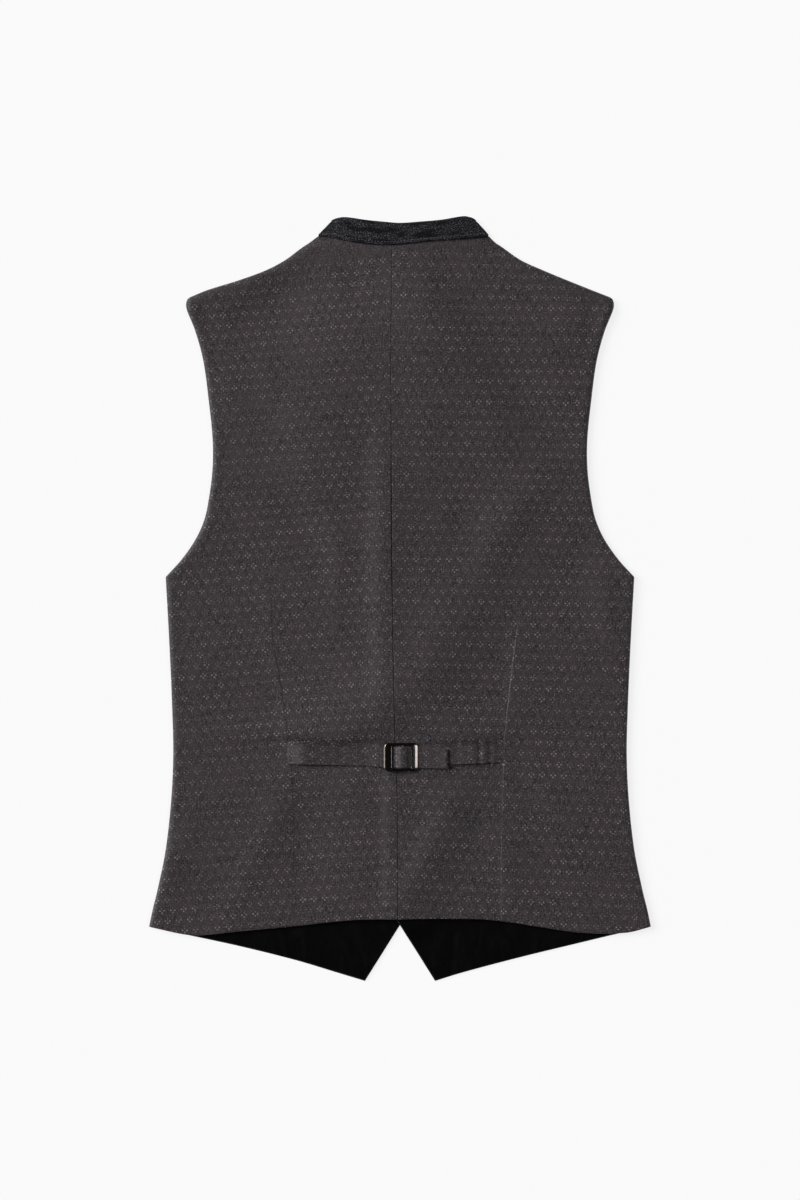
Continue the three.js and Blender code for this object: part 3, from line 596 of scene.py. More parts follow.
def nappedWool():
    # Brushed wool velour: a short uneven nap that swallows light, with paler bluish hairs standing in it.
    n = nappedCloth
    material, add, inMm = newCloth("brushedWoolVelour", {
        "Specular IOR Level": 0.08, "Sheen Weight": 0.05, "Sheen Roughness": 0.4})
    hairs = add("TexNoise", {"Vector": inMm, "Scale": 1 / n["fleckSize"], "Detail": 4.0, "Roughness": 0.75})
    fleck = add("MapRange", {"Value": hairs, "From Min": 0.53, "From Max": 0.66}, interpolation_type="SMOOTHSTEP")
    place = add("VectorMath", {0: inMm, 1: (1 / 22.0, 1 / 6.0, 0), 2: (3.6, 5.2, 0)}, operation="MULTIPLY_ADD")
    rubbed = add("TexNoise", {"Scale": 1.0, "Detail": 3.0, "Vector": place})
    bareAndNapShade = add("MapRange", {"Value": rubbed, "From Min": 0.44, "From Max": 0.6}, interpolation_type="SMOOTHSTEP")
    # painted nap sheen and shade: toward the wearer's right the dark streaks fade and more hairs show, as the nap
    # catches the light there; elsewhere the band stays darker
    paintedNapShade = add("MapRange", {"Value": add("SeparateXYZ", {0: inMm}), "From Min": 122.0, "From Max": 165.0,
                              "To Min": 0.1})
    bareAndNapShade = add("Math", {0: bareAndNapShade, 1: paintedNapShade}, operation="MULTIPLY")
    amount = add("MapRange", {"Value": bareAndNapShade, "To Min": 0.85, "To Max": 0.18})
    shown = add("Math", {0: fleck, 1: amount}, operation="MULTIPLY")
    ground = add("Mix", {0: bareAndNapShade, 6: linear(n["ground"]), 7: linear(n["worn"])}, 2, data_type="RGBA")
    colour = add("Mix", {0: shown, 6: ground, 7: linear(n["fleck"])}, 2, data_type="RGBA")
    rough = add("MapRange", {"Value": hairs, "To Min": 0.98, "To Max": 0.8})
    return finishSurface(material, add, colour, rough, hairs, 0.35)


liningSatin = {"ground": "#060607", "streakAndPaintedSheen": "#121214", "thread": 0.7}


def wovenLining():
    # Black woven lining: nearly no colour of its own, and a faint sheen that runs with its creases, painted into
    # its colour.
    s = liningSatin
    material, add, inMm = newCloth("wovenBlackLining", {
        "Specular IOR Level": 0.06, "Sheen Weight": 0.005, "Sheen Roughness": 0.4})
    warp, crease = (add("TexNoise", {"Detail": 3.0, "Scale": 1.0, "Distortion": distortion, "Vector": add(
        "VectorMath", {0: inMm, 1: scale}, operation="MULTIPLY")}) for distortion, scale in (
        (0.0, (1 / s["thread"], 1 / 14.0, 0)), (1.2, (1 / 14.0, 1 / 34.0, 0))))
    # painted sheen: a lighter colour where the creases and the warp threads catch the light
    shine = add("MapRange", {"Value": crease, "From Min": 0.45, "From Max": 0.7})
    shine = add("Math", {0: warp, 1: shine}, operation="MULTIPLY")
    colour = add("Mix", {0: shine, 6: linear(s["ground"]), 7: linear(s["streakAndPaintedSheen"])}, 2, data_type="RGBA")
    rough = add("MapRange", {"Value": warp, "To Min": 0.55, "To Max": 0.42})
    relief = add("Math", {0: crease, 1: 4.0, 2: warp}, operation="MULTIPLY_ADD")
    return finishSurface(material, add, colour, rough, relief, 0.15)


frontCloth = {"ground": "#1b1a1d", "fibre": "#323136", "fibreSize": 1.1}


def fulledWool():
    # Fulled black wool: a dense matt face with short fibres lying every way.
    w = frontCloth
    material, add, inMm = newCloth("fulledWool", {
        "Specular IOR Level": 0.15, "Sheen Weight": 0.15, "Sheen Roughness": 0.5})
    fibres = add("TexNoise", {"Vector": inMm, "Scale": 1 / w["fibreSize"], "Detail": 5.0, "Roughness": 0.7,
                              "Distortion": 0.8})
    cloud = add("TexNoise", {"Vector": inMm, "Scale": 0.05, "Detail": 2.0})
    amount = add("Math", {0: fibres, 1: cloud}, operation="MULTIPLY")
    share = add("MapRange", {"Value": amount, "From Min": 0.15, "From Max": 0.4})
    colour = add("Mix", {0: share, 6: linear(w["ground"]), 7: linear(w["fibre"])}, 2, data_type="RGBA")
    rough = add("MapRange", {"Value": fibres, "To Min": 1.0, "To Max": 0.8})
    return finishSurface(material, add, colour, rough, fibres, 0.25)


slideMetal = {"colour": "#a39c96", "shade": "#7d7773", "grain": 0.35}


def polishedGunmetal():
    # Polished gunmetal plating on zinc: a dark mirror with a slight haze and fine polishing marks.
    g = slideMetal
    material, add = newMaterial("polishedGunmetal", {"Metallic": 1.0})
    place = add("TexCoord", out="Object")
    brushed = add("VectorMath", {0: place, 1: (1000 / 6.0, 1000 / g["grain"], 1000.0)}, operation="MULTIPLY")
    marks = add("TexNoise", {"Detail": 3.0, "Scale": 1.0, "Vector": brushed})
    haze = add("TexNoise", {"Vector": place, "Scale": 160.0, "Detail": 2.0})
    colour = add("Mix", {0: haze, 6: linear(g["colour"]), 7: linear(g["shade"])}, 2, data_type="RGBA")
    rough = add("MapRange", {"Value": marks, "To Min": 0.12, "To Max": 0.24})
    return finishSurface(material, add, colour, rough, marks, 0.01)


buttonHorn = {"dark": "#1c1512", "light": "#4a3a2f", "grain": 3.0}


def polishedHorn():
    # Polished buffalo horn: dark brown with paler cloudy grain, smooth and a little glassy.
    h = buttonHorn
    material, add = newMaterial("polishedHorn", {"Coat Weight": 0.2, "Coat Roughness": 0.1})
    grown = add("VectorMath", {0: add("TexCoord", out="Object"), 1: (
        1000 / h["grain"], 1000 / 12.0, 1000 / h["grain"])}, operation="MULTIPLY")
    grain = add("TexNoise", {"Detail": 4.0, "Scale": 1.0, "Distortion": 0.6, "Vector": grown})
    share = add("MapRange", {"Value": grain, "From Min": 0.42, "From Max": 0.7})
    colour = add("Mix", {0: share, 6: linear(h["dark"]), 7: linear(h["light"])}, 2, data_type="RGBA")
    rough = add("MapRange", {"Value": grain, "To Min": 0.22, "To Max": 0.34})
    return finishSurface(material, add, colour, rough, grain, 0.02)


# dark: the painted shaded side of each twist
sewingThread = {"colour": "#7c7b81", "dark": "#3c3b40"}


def twistedThread():
    # Spun polyester thread: matt, with a light and a dark side to every twist, painted into its colour as light
    # and shade.
    t = sewingThread
    material, add = newMaterial("twistedPolyesterThread", {"Specular IOR Level": 0.3})
    twist = add("TexWave", {"Vector": add("TexCoord", out="Object"), "Scale": 900.0, "Distortion": 1.0}, "Fac",
                bands_direction="DIAGONAL")
    # painted light and shade along the twist
    colour = add("Mix", {0: twist, 6: linear(t["dark"]), 7: linear(t["colour"])}, 2, data_type="RGBA")
    rough = add("MapRange", {"Value": twist, "To Min": 0.7, "To Max": 0.55})
    return finishSurface(material, add, colour, rough, twist, 0.05)


jacquardCloth, velourCloth, liningCloth, woolCloth = wovenJacquard(), nappedWool(), wovenLining(), fulledWool()
slideFinish, hornFinish, threadFinish = polishedGunmetal(), polishedHorn(), twistedThread()
print("materials ready")

# back

backPiece = {
    "cell": 3.0,
    "edgeRadius": 0.75,
    "seamRadius": 0.25,
    "underCollar": 6.5,
    "rowShift": {-1: -1.0, 1: 5.2},  # mm; the two panels aren't matched at the seam
    "pitShare": 0.556,  # of the way up to the bottom of the armhole
    "dartIntake": 9.0,  # cloth taken up by each dart at the waist
    "tilt": {-1: 4.6, 1: -0.8},  # degrees the rows of diamonds rise to the right
}


def byWayOf(start, turn, end, share, v):
    return np.where(v < share, mix(start, turn, v / share), mix(turn, end, (v - share) / (1 - share)))


def column(places, share):
    # a guide up the panel: its lower end, a level that every guide passes at the same share of the way, its
    # upper end, and its place across at any height
    low, level, high, across = places

    def guide(v):
        y = byWayOf(low, level, high, share, v)
        return np.stack([across(y), y], -1)
    return guide


def outerAcross(side, extra):
    def across(y):
        free = np.sin(np.pi * ease(y, vest["pitY"], vest["tipY"]))
        edge = np.where(y < vest["pitY"], along(sideSeam, y), along(armhole, y))
        return side * (edge - extra * np.abs(free) ** 0.8)
    return across


def backGuides(side):
    share, pit = backPiece["pitShare"], vest["pitY"]
    gapX = 0 if side < 0 else -0.1  # the two panels are pressed together in the seam
    neckX, neckY = neckSeam[0 if side < 0 else -1]
    shoulderX = -140.0 if side < 0 else 141.0
    shoulderY = float(along(backShoulder[side], shoulderX))
    toShoulder = dart[side] + [(150, mix(dart[side][-1][1], shoulderX, 0.5)), (shoulderY, shoulderX)]
    neckRun = [(-320, side * 50), (pit, side * 62), (neckY, neckX)]
    hemAt = lambda x: float(along(backHem, x))
    low, high = centreBackSeam[0][0], centreBackSeam[-1][0]
    seam = lambda aside: column((low, pit, high, lambda y: along(centreBackSeam, y) + aside), share)
    return [
        column((sideSeam[0][0], pit, vest["tipY"], outerAcross(side, 0)), share),
        column((hemAt(toShoulder[0][1]), pit, shoulderY, lambda y: along(toShoulder, y)), share),
        column((hemAt(side * 50), pit, neckY, lambda y: along(neckRun, y)), share),
        seam(gapX),
    ] + ([seam(backSurface["seamAllowance"])] if side < 0 else [])


def edgeFrom(rows):
    # a hem or top edge: between the ends of two guides, its height is read from a table
    def edge(_, u, ends, end):
        x = mix(ends[0][end][0], ends[1][end][0], u)
        return np.stack([x, along(rows, x)], -1)
    return edge


def buildBack(side):
    b = backPiece
    hemEdge, shoulderEdge = edgeFrom(backHem), edgeFrom(backShoulder[side])
    neckEdge = edgeFrom([(x, y + 1.8 * float(band(x, -70, 77, 9)) + b["underCollar"] * float(band(x, -48, 54, 24)))
                         for x, y in neckSeam])
    hem = lambda k, u, ends: hemEdge(k, u, ends, 0)
    top = lambda k, u, ends: (neckEdge if k >= 2 else shoulderEdge)(k, u, ends, 1)
    dartLines = [0, 0.35, 0.8, 1.4, 2.4]
    seamLines = [0, 0.1, 0.25, 0.5, 0.9, 1.5, 2.4]
    across = np.concatenate([
        gridShares(112, b["cell"], edgeLines, dartLines),
        1 + gridShares(58, b["cell"], dartLines, [0])[1:],
        2 + gridShares(62, b["cell"], [0], seamLines)[1:],
    ] + ([3 + np.array([0.25, 0.6, 1.0])] if side < 0 else []))
    up = gridShares(panelLength, b["cell"], edgeLines, edgeLines)
    grid = layOut(backGuides(side), hem, top, across, up)
    keep = np.ones((len(up) - 1, len(across) - 1), bool)
    x, y = grid[..., 0], grid[..., 1]
    under = backUnder(x, y)
    middle = np.dstack([grid, under + vest["backCloth"] / 2])
    offEdge = edgeDistance(middle, keep)
    offSeam = np.abs(x - along(centreBackSeam, y))
    inSeam = offSeam < offEdge + (7.0 if side < 0 else 1.0)
    half = rounded(offEdge, vest["backCloth"], np.where(inSeam, b["seamRadius"], b["edgeRadius"]))
    outerEdge = np.where(inSeam, 50.0, offEdge)  # the centre seam isn't a turned edge
    offNeck = along(neckSeam, x) - y + 99 * (np.abs(x) > 92)
    # the neck edge runs in under the collar, deepest right at the seam
    sunk = 0.9 * ease(-offNeck, -1.2, 0) + 1.4 * np.exp(-(offNeck / 1.2) ** 2)
    detail = backDetail(side, x, y, outerEdge) * ease(outerEdge, -0.4, 1.2) - sunk
    topFace = middle + np.dstack([0 * x, 0 * x, half + detail])
    bottomFace = middle + np.dstack([0 * x, 0 * x, -half - 0.3 * sunk + 0.4 * np.minimum(0, detail) * inSeam])
    edgeRow = offEdge < 1e-6
    topFace[..., 2][edgeRow] = bottomFace[..., 2][edgeRow] = (
        middle[..., 2] + detail * np.where(inSeam, 1.0, 0.6))[edgeRow]
    angle = math.radians(b["tilt"][side])
    intake = b["dartIntake"] * band(y, -150, -150, 190)

    def cuts(i, j, columnOf):
        px, py = grid[i, j, 0], grid[i, j, 1]
        lean = angle + (0 if side < 0 else -0.035 * ease(-py, -60, 300))
        px = px + np.where(across[columnOf] < 1, side * intake[i, j], 0)
        return np.stack([px * np.cos(lean) + py * np.sin(lean),
                         py * np.cos(lean) - px * np.sin(lean) - b["rowShift"][side]], -1)

    mesh = sheetMesh("back" + hand[side].title(), topFace, bottomFace, keep, cuts)
    piece = addPiece(mesh, ["back_" + hand[side]], "back_jacquard", jacquardCloth)


buildBack(-1)
buildBack(1)
print("back panels cut and laid")

# fronts and their facings

frontPiece = {
    "cell": 4.0,
    "edgeRadius": 0.7,
    "armholeCut": 17.0,  # deeper than the back's
    "width": 240.0,  # from the front edge to the side seam at the level of the chest
    "pitShare": 13 / 24,
    "slantShare": 0.125,  # up to where the front edge turns, and up to the top buttonhole
    "slitShare": 0.94,
    "slantRise": 51.0,  # of the first of these levels from the facing to the side seam
    "slitTopY": 270.0,
    "slit": {"start": 14.0, "end": 30.0, "height": 2.6},  # buttonholes, from the front edge
    "buttons": {"count": 8, "first": 262.0, "last": -255.0},
}
facingPiece = {"cell": 3.5, "width": 68.0, "inset": 1.2, "sideInset": 12.0, "edgeRadius": 0.5}
neckPointAt = 104.0  # from the front edge
# from the front edge: the side seam, the neck point, the facing's edge and the buttonholes' ends
frontGuideAt = [frontPiece["width"], neckPointAt, facingPiece["width"], 30.0, 14.0, 0.0]


def neckCurve(side, angle, grow=0.0):
    width = neckLine[side] + grow
    return np.stack([side * width * np.cos(angle), neckLine["y"] - (neckLine["depth"] + grow) * np.sin(angle)], -1)


def neckAngle(side, distance):
    across = (distance - vest["wrap"]) / (neckLine[side] + vest["gap"])
    return 0.0 if distance >= neckPointAt else math.acos(across)


def frontGuides(side):
    f, bandWidth = frontPiece, facingPiece["width"]

    def inner(distance):
        beyond = distance >= neckPointAt
        x0 = side * mix(vest["frontTip"][0], sideSeam[0][1], distance / f["width"])
        x1 = side * (distance - vest["wrap"])
        rise = f["slantRise"] * max(0.0, distance - bandWidth) / (f["width"] - bandWidth)
        top = neckPoint[side] if beyond else neckCurve(side, neckAngle(side, distance), vest["gap"])
        stops = [0, f["slantShare"], f["slitShare"], 1]
        xs = [x0, x1, mix(x1, top[0], 0.93) if beyond else x1, top[0]]
        ys = [float(along(frontHem[side], x0)), vest["wrapEndY"] + rise, f["slitTopY"] + 40 * beyond, top[1]]
        return lambda v: np.stack([np.interp(v, stops, xs), np.interp(v, stops, ys)], -1)

    outer = (sideSeam[0][0], vest["pitY"], vest["tipY"], outerAcross(side, f["armholeCut"]))
    return [column(outer, f["pitShare"])] + [inner(d) for d in frontGuideAt[1:]]


def frontLayout(side, distances, up):
    hemEdge, shoulderEdge = edgeFrom(frontHem[side]), edgeFrom(shoulder[side])

    def top(k, u, ends):
        if k == 0:
            return shoulderEdge(k, u, ends, 1)
        start, end = (neckAngle(side, d) for d in frontGuideAt[k:k + 2])
        line = neckCurve(side, mix(start, end, u), vest["gap"])
        return line + np.outer((1 - u) ** 2, ends[0][1] - line[0]) if k == 1 else line

    across = np.interp(-np.asarray(distances), [-d for d in frontGuideAt], range(len(frontGuideAt)))
    return layOut(frontGuides(side), lambda k, u, ends: hemEdge(k, u, ends, 0), top, across, up)


def buttonYs():
    b = frontPiece["buttons"]
    return np.linspace(b["first"], b["last"], b["count"])


def slitRows(finer):
    # shares of the height at the edges of every buttonhole, and just outside them
    f = frontPiece
    low, high = vest["wrapEndY"], f["slitTopY"]
    level = lambda y: mix(f["slantShare"], f["slitShare"], (y - low) / (high - low))
    half = f["slit"]["height"] / 2
    return sorted(level(y + sign * (half + more)) for y in buttonYs() for sign in (-1, 1) for more in finer)


def spread(fixed, start, end, cell):
    # the fixed places, with even ones between them wherever they are far apart
    places = sorted(set([start, end] + [p for p in fixed if start <= p <= end]))
    result = [places[0]]
    for a, b in zip(places, places[1:]):
        count = max(1, round((b - a) / cell))
        result += list(np.linspace(a, b, count + 1)[1:])
    return np.array(result)


def slitCells(distances, up):
    s = frontPiece["slit"]
    middle, centres = (distances[1:] + distances[:-1]) / 2, (up[1:] + up[:-1]) / 2
    columns = (middle > s["start"]) & (middle < s["end"])
    edges = slitRows([0])
    rows = np.any([(centres > low) & (centres < high) for low, high in zip(edges[::2], edges[1::2])], 0)
    return rows[:, None] & columns[None, :]


def buildFrontPanel(side, kind, distances, up, keep, under, thick, radius, look):
    # a front or its facing, flat on what lies under it
    if side < 0:
        keep = keep & ~slitCells(distances, up)
    grid = frontLayout(side, distances, up)
    middle = np.dstack([grid, under(grid[..., 0], grid[..., 1]) + thick / 2])
    lift = rounded(edgeDistance(middle, keep), thick, radius)[..., None] * np.array([0, 0, 1.0])
    mesh = sheetMesh(kind + hand[side].title(), middle + lift, middle - lift, keep, lambda i, j, _: grid[i, j])
    piece = addPiece(mesh, [kind + "_" + hand[side]], *look)


def buildFront(side):
    f, s = frontPiece, frontPiece["slit"]
    turned = edgeLines[:-1]
    columns = turned + [f["width"] - t for t in turned]
    columns += [s["start"] - t for t in turned[:5]] + [s["end"] + t for t in turned[:5]]
    columns += [neckPointAt, facingPiece["width"]]
    distances = spread(columns, 0, f["width"], f["cell"])[::-1]
    rows = [t / panelLength for t in turned] + [1 - t / panelLength for t in turned] + slitRows(turned[:5])
    up = spread(rows, 0, 1, f["cell"] / panelLength)
    keep = np.ones((len(up) - 1, len(distances) - 1), bool)
    buildFrontPanel(side, "front", distances, up, keep, lambda x, y: frontZ(side, x, y), vest["frontCloth"],
                    f["edgeRadius"], ("front_wool", woolCloth))


facingFolds = [
    (-96, -330, -86, -346, -70, -360, 9, 6, 1.0, 0.5), (-70, -318, -58, -334, -52, -352, 8, 5, 1.0, 0.4),
    (-130, -326, -126, -337, -118, -346, 7, 7, 1.0, 0.4), (-160, -320, -159, -329, -158, -338, 8, 6, 1.0, 0.35),
    (60, -316, 66, -338, 78, -356, 8, 6, 1.0, 0.5), (96, -322, 103, -336, 110, -350, 9, 6, 1.0, 0.4),
    (40, -330, 44, -350, 52, -366, 8, 5, 1.0, 0.35), (140, -322, 143, -332, 146, -342, 7, 7, 1.0, 0.35),
    (180, -320, 182, -327, 184, -334, 7, 7, 1.0, 0.3),
]


def buildFacing(side):
    c, s = facingPiece, frontPiece["slit"]
    turned = edgeLines[:-1]
    low, high = c["inset"], frontPiece["width"] - c["sideInset"]
    columns = [low + t for t in turned] + [high - t for t in turned] + [c["width"] - t for t in turned]
    columns += [s["start"] - t for t in turned[:4]] + [s["end"] + t for t in turned[:4]]
    distances = spread(columns, low, high, c["cell"])[::-1]
    start, end, bandTop = c["inset"] / panelLength, 1 - c["inset"] / panelLength, frontPiece["slantShare"]
    rows = [start + t / panelLength for t in turned] + [end - t / panelLength for t in turned]
    rows += [bandTop - t / panelLength for t in turned] + slitRows(turned[:4])
    up = spread(rows, start, end, c["cell"] / panelLength)
    inFrontBand = (distances[1:] + distances[:-1]) / 2 < c["width"]
    keep = ((up[1:] + up[:-1]) / 2 < bandTop)[:, None] | inFrontBand[None, :]
    under = lambda x, y: (frontZ(side, x, y) + vest["frontCloth"] + vest["gap"]
                          + foldRelief(x, y, facingFolds) * ease(-y, 305, 325))
    buildFrontPanel(side, "facing", distances, up, keep, under, vest["facingCloth"], c["edgeRadius"],
                    ("black_facing", liningCloth))


for side in (-1, 1):
    buildFront(side)
for side in (-1, 1):
    buildFacing(side)
print("fronts and facings cut and laid")

# collar

collarPiece = {
    "width": 22.5,
    "topEdge": [(-62.4, 374), (-56, 375), (-47, 374.2), (-34.3, 372.1), (-16.7, 370.2), (0, 368.9),
                (19.6, 370.2), (40.2, 372.1), (55, 374.8), (63, 375.9), (69.6, 374.9)],
    "topWidth": {-1: 62.4, 1: 69.6},  # half widths
    "topY": 371.9,
    "topDrop": 70.0,
    "cornerDrop": 2.6,  # the top edge dips where it goes round the folds
    "seamRise": 2.0,  # from the front layer to the back one
    "topRise": {-1: 2.1, 1: 3.0},
    "edgeRadius": 1.0,
    "stations": {"front": 46, "fold": 20, "back": 100},
    "cell": 1.1,
}
collarStitch = {"length": 2.0, "pitch": 3.0, "radius": 0.34, "up": 3.1}  # up from the seam


def collarStations():
    # round the neck: seam point, top point, and the way out of the outer face
    c, thick = collarPiece, vest["collarCloth"]
    radius = vest["collarFold"]
    foldZ = thick / 2 + radius
    up, down = np.array([0, 0, 1.0]), np.array([0, 0, -1.0])

    def frontPart(side):
        part = []
        for angle in np.linspace(0, math.pi / 2, c["stations"]["front"])[1:]:
            seam = neckCurve(side, angle)
            top = np.array([side * c["topWidth"][side] * math.cos(angle),
                            c["topY"] - c["topDrop"] * math.sin(angle)])
            if angle > math.pi / 2 - 1e-6:
                seam[0] = top[0] = side * vest["gap"]
            z = float(frontZ(side, seam[0], seam[1])) + thick / 2
            part.append((np.append(seam, z), np.append(top, z), down))
        return part

    def foldPart(side):
        part = []
        seamEnd = np.array([side * neckLine[side], neckLine["y"], foldZ])
        topEnd = np.array([side * c["topWidth"][side], c["topY"], foldZ])
        axis = (topEnd - seamEnd) / np.linalg.norm(topEnd - seamEnd)
        away = np.cross(axis, up) * side
        for turn in np.linspace(0, math.pi, c["stations"]["fold"] + 1):
            out = down * math.cos(turn) + away * math.sin(turn)
            rise = np.array([0, float(ease(turn, 0, math.pi)), 0])
            part.append((seamEnd + out * radius + rise * c["seamRise"],
                         topEnd + out * radius - axis * math.sin(turn) * c["cornerDrop"]
                         + rise * c["topRise"][side], out))
        return part

    def backPart():
        part = []
        count = c["stations"]["back"]
        for n in range(1, count):
            t = n / count
            seamX = mix(neckLine[1], -neckLine[-1], t)
            topX = mix(c["topWidth"][1], -c["topWidth"][-1], t)
            inward = math.sin(math.pi * t) ** 0.7
            z = float(collarZ(np.array(seamX)))
            seamY = float(along(neckSeam, seamX)) + vest["gap"] + 0.1
            topY = float(along(c["topEdge"], topX))
            part.append((np.array([seamX, seamY, z]), np.array([topX, topY, z - 0.6 * inward]), up))
        return part

    return frontPart(1)[::-1] + foldPart(1) + backPart() + foldPart(-1)[::-1] + frontPart(-1)


def buildCollar():
    c, thick = collarPiece, vest["collarCloth"]
    stations = collarStations()
    seam, top, out = (np.array([station[n] for station in stations]) for n in range(3))
    run = runOf((seam + top) / 2)
    # closer stations at the two ends of the band
    shares = gridShares(c["width"], c["cell"], edgeLines, edgeLines)
    middle = seam[:, None] * (1 - shares[None, :, None]) + top[:, None] * shares[None, :, None]
    outward = np.repeat(out[:, None], len(shares), 1)
    keep = np.ones((len(stations) - 1, len(shares) - 1), bool)
    offEdge = edgeDistance(middle, keep)
    half = rounded(offEdge, thick, c["edgeRadius"])
    up = shares * c["width"]
    stitched = -0.3 * np.exp(-((up - collarStitch["up"]) / 0.55) ** 2)  # the line of topstitching sinks in
    roll = 0.25 * np.exp(-((up - 20.6) / 1.3) ** 2) - 0.18 * np.exp(-((up - 18.2) / 0.9) ** 2)
    uneven = 0.1 * pucker(run[:, None] * 0.8 + up[None, :] * 0.3, 41) + 0.07 * wander(
        run[:, None] + 0 * up[None, :], up[None, :] + 0 * run[:, None], 44, [23, 17, 11])
    detail = ((stitched + roll)[None, :] + uneven * ease(offEdge, 0, 2.5)) * ease(offEdge, 0, 1.0)
    detail = np.where(outward[..., 2] < -0.5, np.minimum(detail, 0), detail)  # it lies flat on its front
    topFace = middle + outward * (half + detail)[..., None]
    bottomFace = middle - outward * half[..., None]

    def cuts(i, j, _):
        return np.stack([run[i], up[j]], -1)

    mesh = sheetMesh("collarBand", topFace, bottomFace, keep, cuts)
    collarBand = addPiece(mesh, ["collar"], "collar_velvet", velourCloth)
    return collarBand, middle, topFace, run, up


def turnedFaces(first, sides, rings, last):
    # round a turned shape: a fan at each end point, and walls from ring to ring
    faces = []
    low = lambda ring: first + 1 + ring * sides
    for k in range(sides):
        n = (k + 1) % sides
        faces.append((first, low(0) + n, low(0) + k))
        faces += [(low(r) + k, low(r) + n, low(r + 1) + n, low(r + 1) + k) for r in range(rings - 1)]
        faces.append((low(rings - 1) + k, low(rings - 1) + n, last))
    return faces


def capsules(name, spans, radius, flatten=0.7):
    # stitches: each a short round-ended thread from one point to the next, as one joined mesh
    rings = [(-0.82, 0.62), (-0.45, 0.95), (0.45, 0.95), (0.82, 0.62)]
    sides = 7
    points, faces = [], []
    for start, end, normal in spans:
        start, end, normal = (np.asarray(v, float) for v in (start, end, normal))
        centre, half = (start + end) / 2, (end - start) / 2
        direction = half / np.linalg.norm(half)
        aside = np.cross(direction, normal)
        aside /= np.linalg.norm(aside)
        first = len(points)
        points.append(centre - half)
        for place, width in rings:
            for k in range(sides):
                a = math.tau * k / sides
                points.append(centre + half * place + radius * width * (
                    aside * math.cos(a) + normal * flatten * math.sin(a)))
        points.append(centre + half)
        faces += turnedFaces(first, sides, len(rings), len(points) - 1)
    return meshFrom(name, points, faces)


def surfaceAt(face, run, up, s, t):
    # a point of the collar's outer face, a distance along the band and up from its seam
    i = np.clip(np.searchsorted(run, s) - 1, 0, len(run) - 2)
    j = np.clip(np.searchsorted(up, t) - 1, 0, len(up) - 2)
    a, b = (s - run[i]) / (run[i + 1] - run[i]), (t - up[j]) / (up[j + 1] - up[j])
    return ((1 - a) * (1 - b) * face[i, j] + a * (1 - b) * face[i + 1, j]
            + (1 - a) * b * face[i, j + 1] + a * b * face[i + 1, j + 1])


def stitchCollar(collarBand, middle, topFace, run, up):
    k = collarStitch
    rng = random.Random(5)
    spans = []
    s = 4.0
    while s < run[-1] - 4:
        t = k["up"] + rng.uniform(-0.12, 0.12)
        start = surfaceAt(topFace, run, up, s, t)
        end = surfaceAt(topFace, run, up, s + k["length"], t + rng.uniform(-0.12, 0.12))
        normal = (start + end) / 2 - surfaceAt(middle, run, up, s + k["length"] / 2, t)
        normal /= np.linalg.norm(normal)
        spans.append((start + normal * 0.04, end + normal * 0.04, normal))
        s += k["pitch"] + rng.uniform(-0.1, 0.1)
    stitches = addPiece(capsules("collarTopstitch", spans, k["radius"]), [], "collar_velvet", threadFinish)


collarParts = buildCollar()
stitchCollar(*collarParts)
print("collar folded and stitched")

# cinch belt

strapPiece = {
    "thick": 1.15,
    "wall": 0.42,
    "cell": 1.6,
    # middle line across the back: place across, height and width
    "line": [(-110.1, -149.9), (-60, -150.9), (-22, -152.6), (-14, -153.8), (17, -154.2), (46.6, -155.3)],
    "width": [(-110.1, 22.6), (-60, 22.4), (-22, 22.0), (-14, 21.4), (17, 21.4), (46.6, 19.6)],
    # height of the strap's middle over the back, along its run
    "rise": [(-110.1, -0.3), (-105, 1.0), (-96, 3.3), (-86, 3.1), (-64, 1.8), (-42, 1.2), (-28, 1.3),
             (-18, 1.8), (-12, 2.1), (-7, 2.2), (-4, 2.5), (-2.2, 3.4), (-1.2, 4.6), (0.2, 5.5), (2, 5.8),
             (3.8, 5.7), (6, 4.8), (8.2, 3.2), (10.6, 2.3), (17.6, 2.25), (28, 2.3), (38, 2.8), (46.6, 4.2)],
}
loopPiece = {
    "line": [(-2, -153.8), (14, -153.4), (30, -152.4), (49, -150.9), (101.7, -148.2)],
    "width": [(-2, 20.4), (14, 20.6), (30, 20.8), (49, 21.2), (101.7, 22.4)],
    "rise": [(3.4, 1.6), (6, 1.4), (10, 1.05), (15, 0.95), (26, 0.95), (40, 1.05), (56, 2.0), (68, 3.3), (74, 3.6),
             (78, 2.1), (81, 2.9), (84, 2.8), (88, 1.1), (92, 1.3), (97, 0.2), (101.7, -0.6)],
    "turn": {"x": 1.2, "z": 3.0, "radius": 1.4},
    "end": [(3.4, 4.4), (4.7, 3.9), (5.5, 3.1)],
}


def underStrap(x, y):
    level = 1 - ease(np.abs(x - buckleX), 20, 34)
    return mix(backTop(x, y), seatZ, level)


def softened(path, passes=2):
    # corners of a path cut off, so that it runs round
    for _ in range(passes):
        a, b = path[:-1], path[1:]
        inner = np.stack([a * 0.75 + b * 0.25, a * 0.25 + b * 0.75], 1).reshape(-1, 2)
        path = np.concatenate([path[:1], inner, path[-1:]])
    return path


def resampled(path, step):
    run = runOf(path)
    places = np.linspace(0, run[-1], max(2, round(run[-1] / step)) + 1)
    return np.stack([np.interp(places, run, path[:, n]) for n in range(path.shape[1])], 1)


def tubeSection(width, thick, steps, turns=5):
    # round a flattened tube: across and out, starting at one end of its upper side
    radius = thick / 2
    flat = width / 2 - radius
    upper = [(a, radius) for a in np.linspace(flat, -flat, steps + 1)]
    left = [(-flat - radius * math.sin(t), radius * math.cos(t)) for t in np.linspace(0, math.pi, turns + 2)[1:-1]]
    lower = [(-a, -n) for a, n in upper]
    right = [(-a, -n) for a, n in left]
    return np.array(upper + left + lower + right)


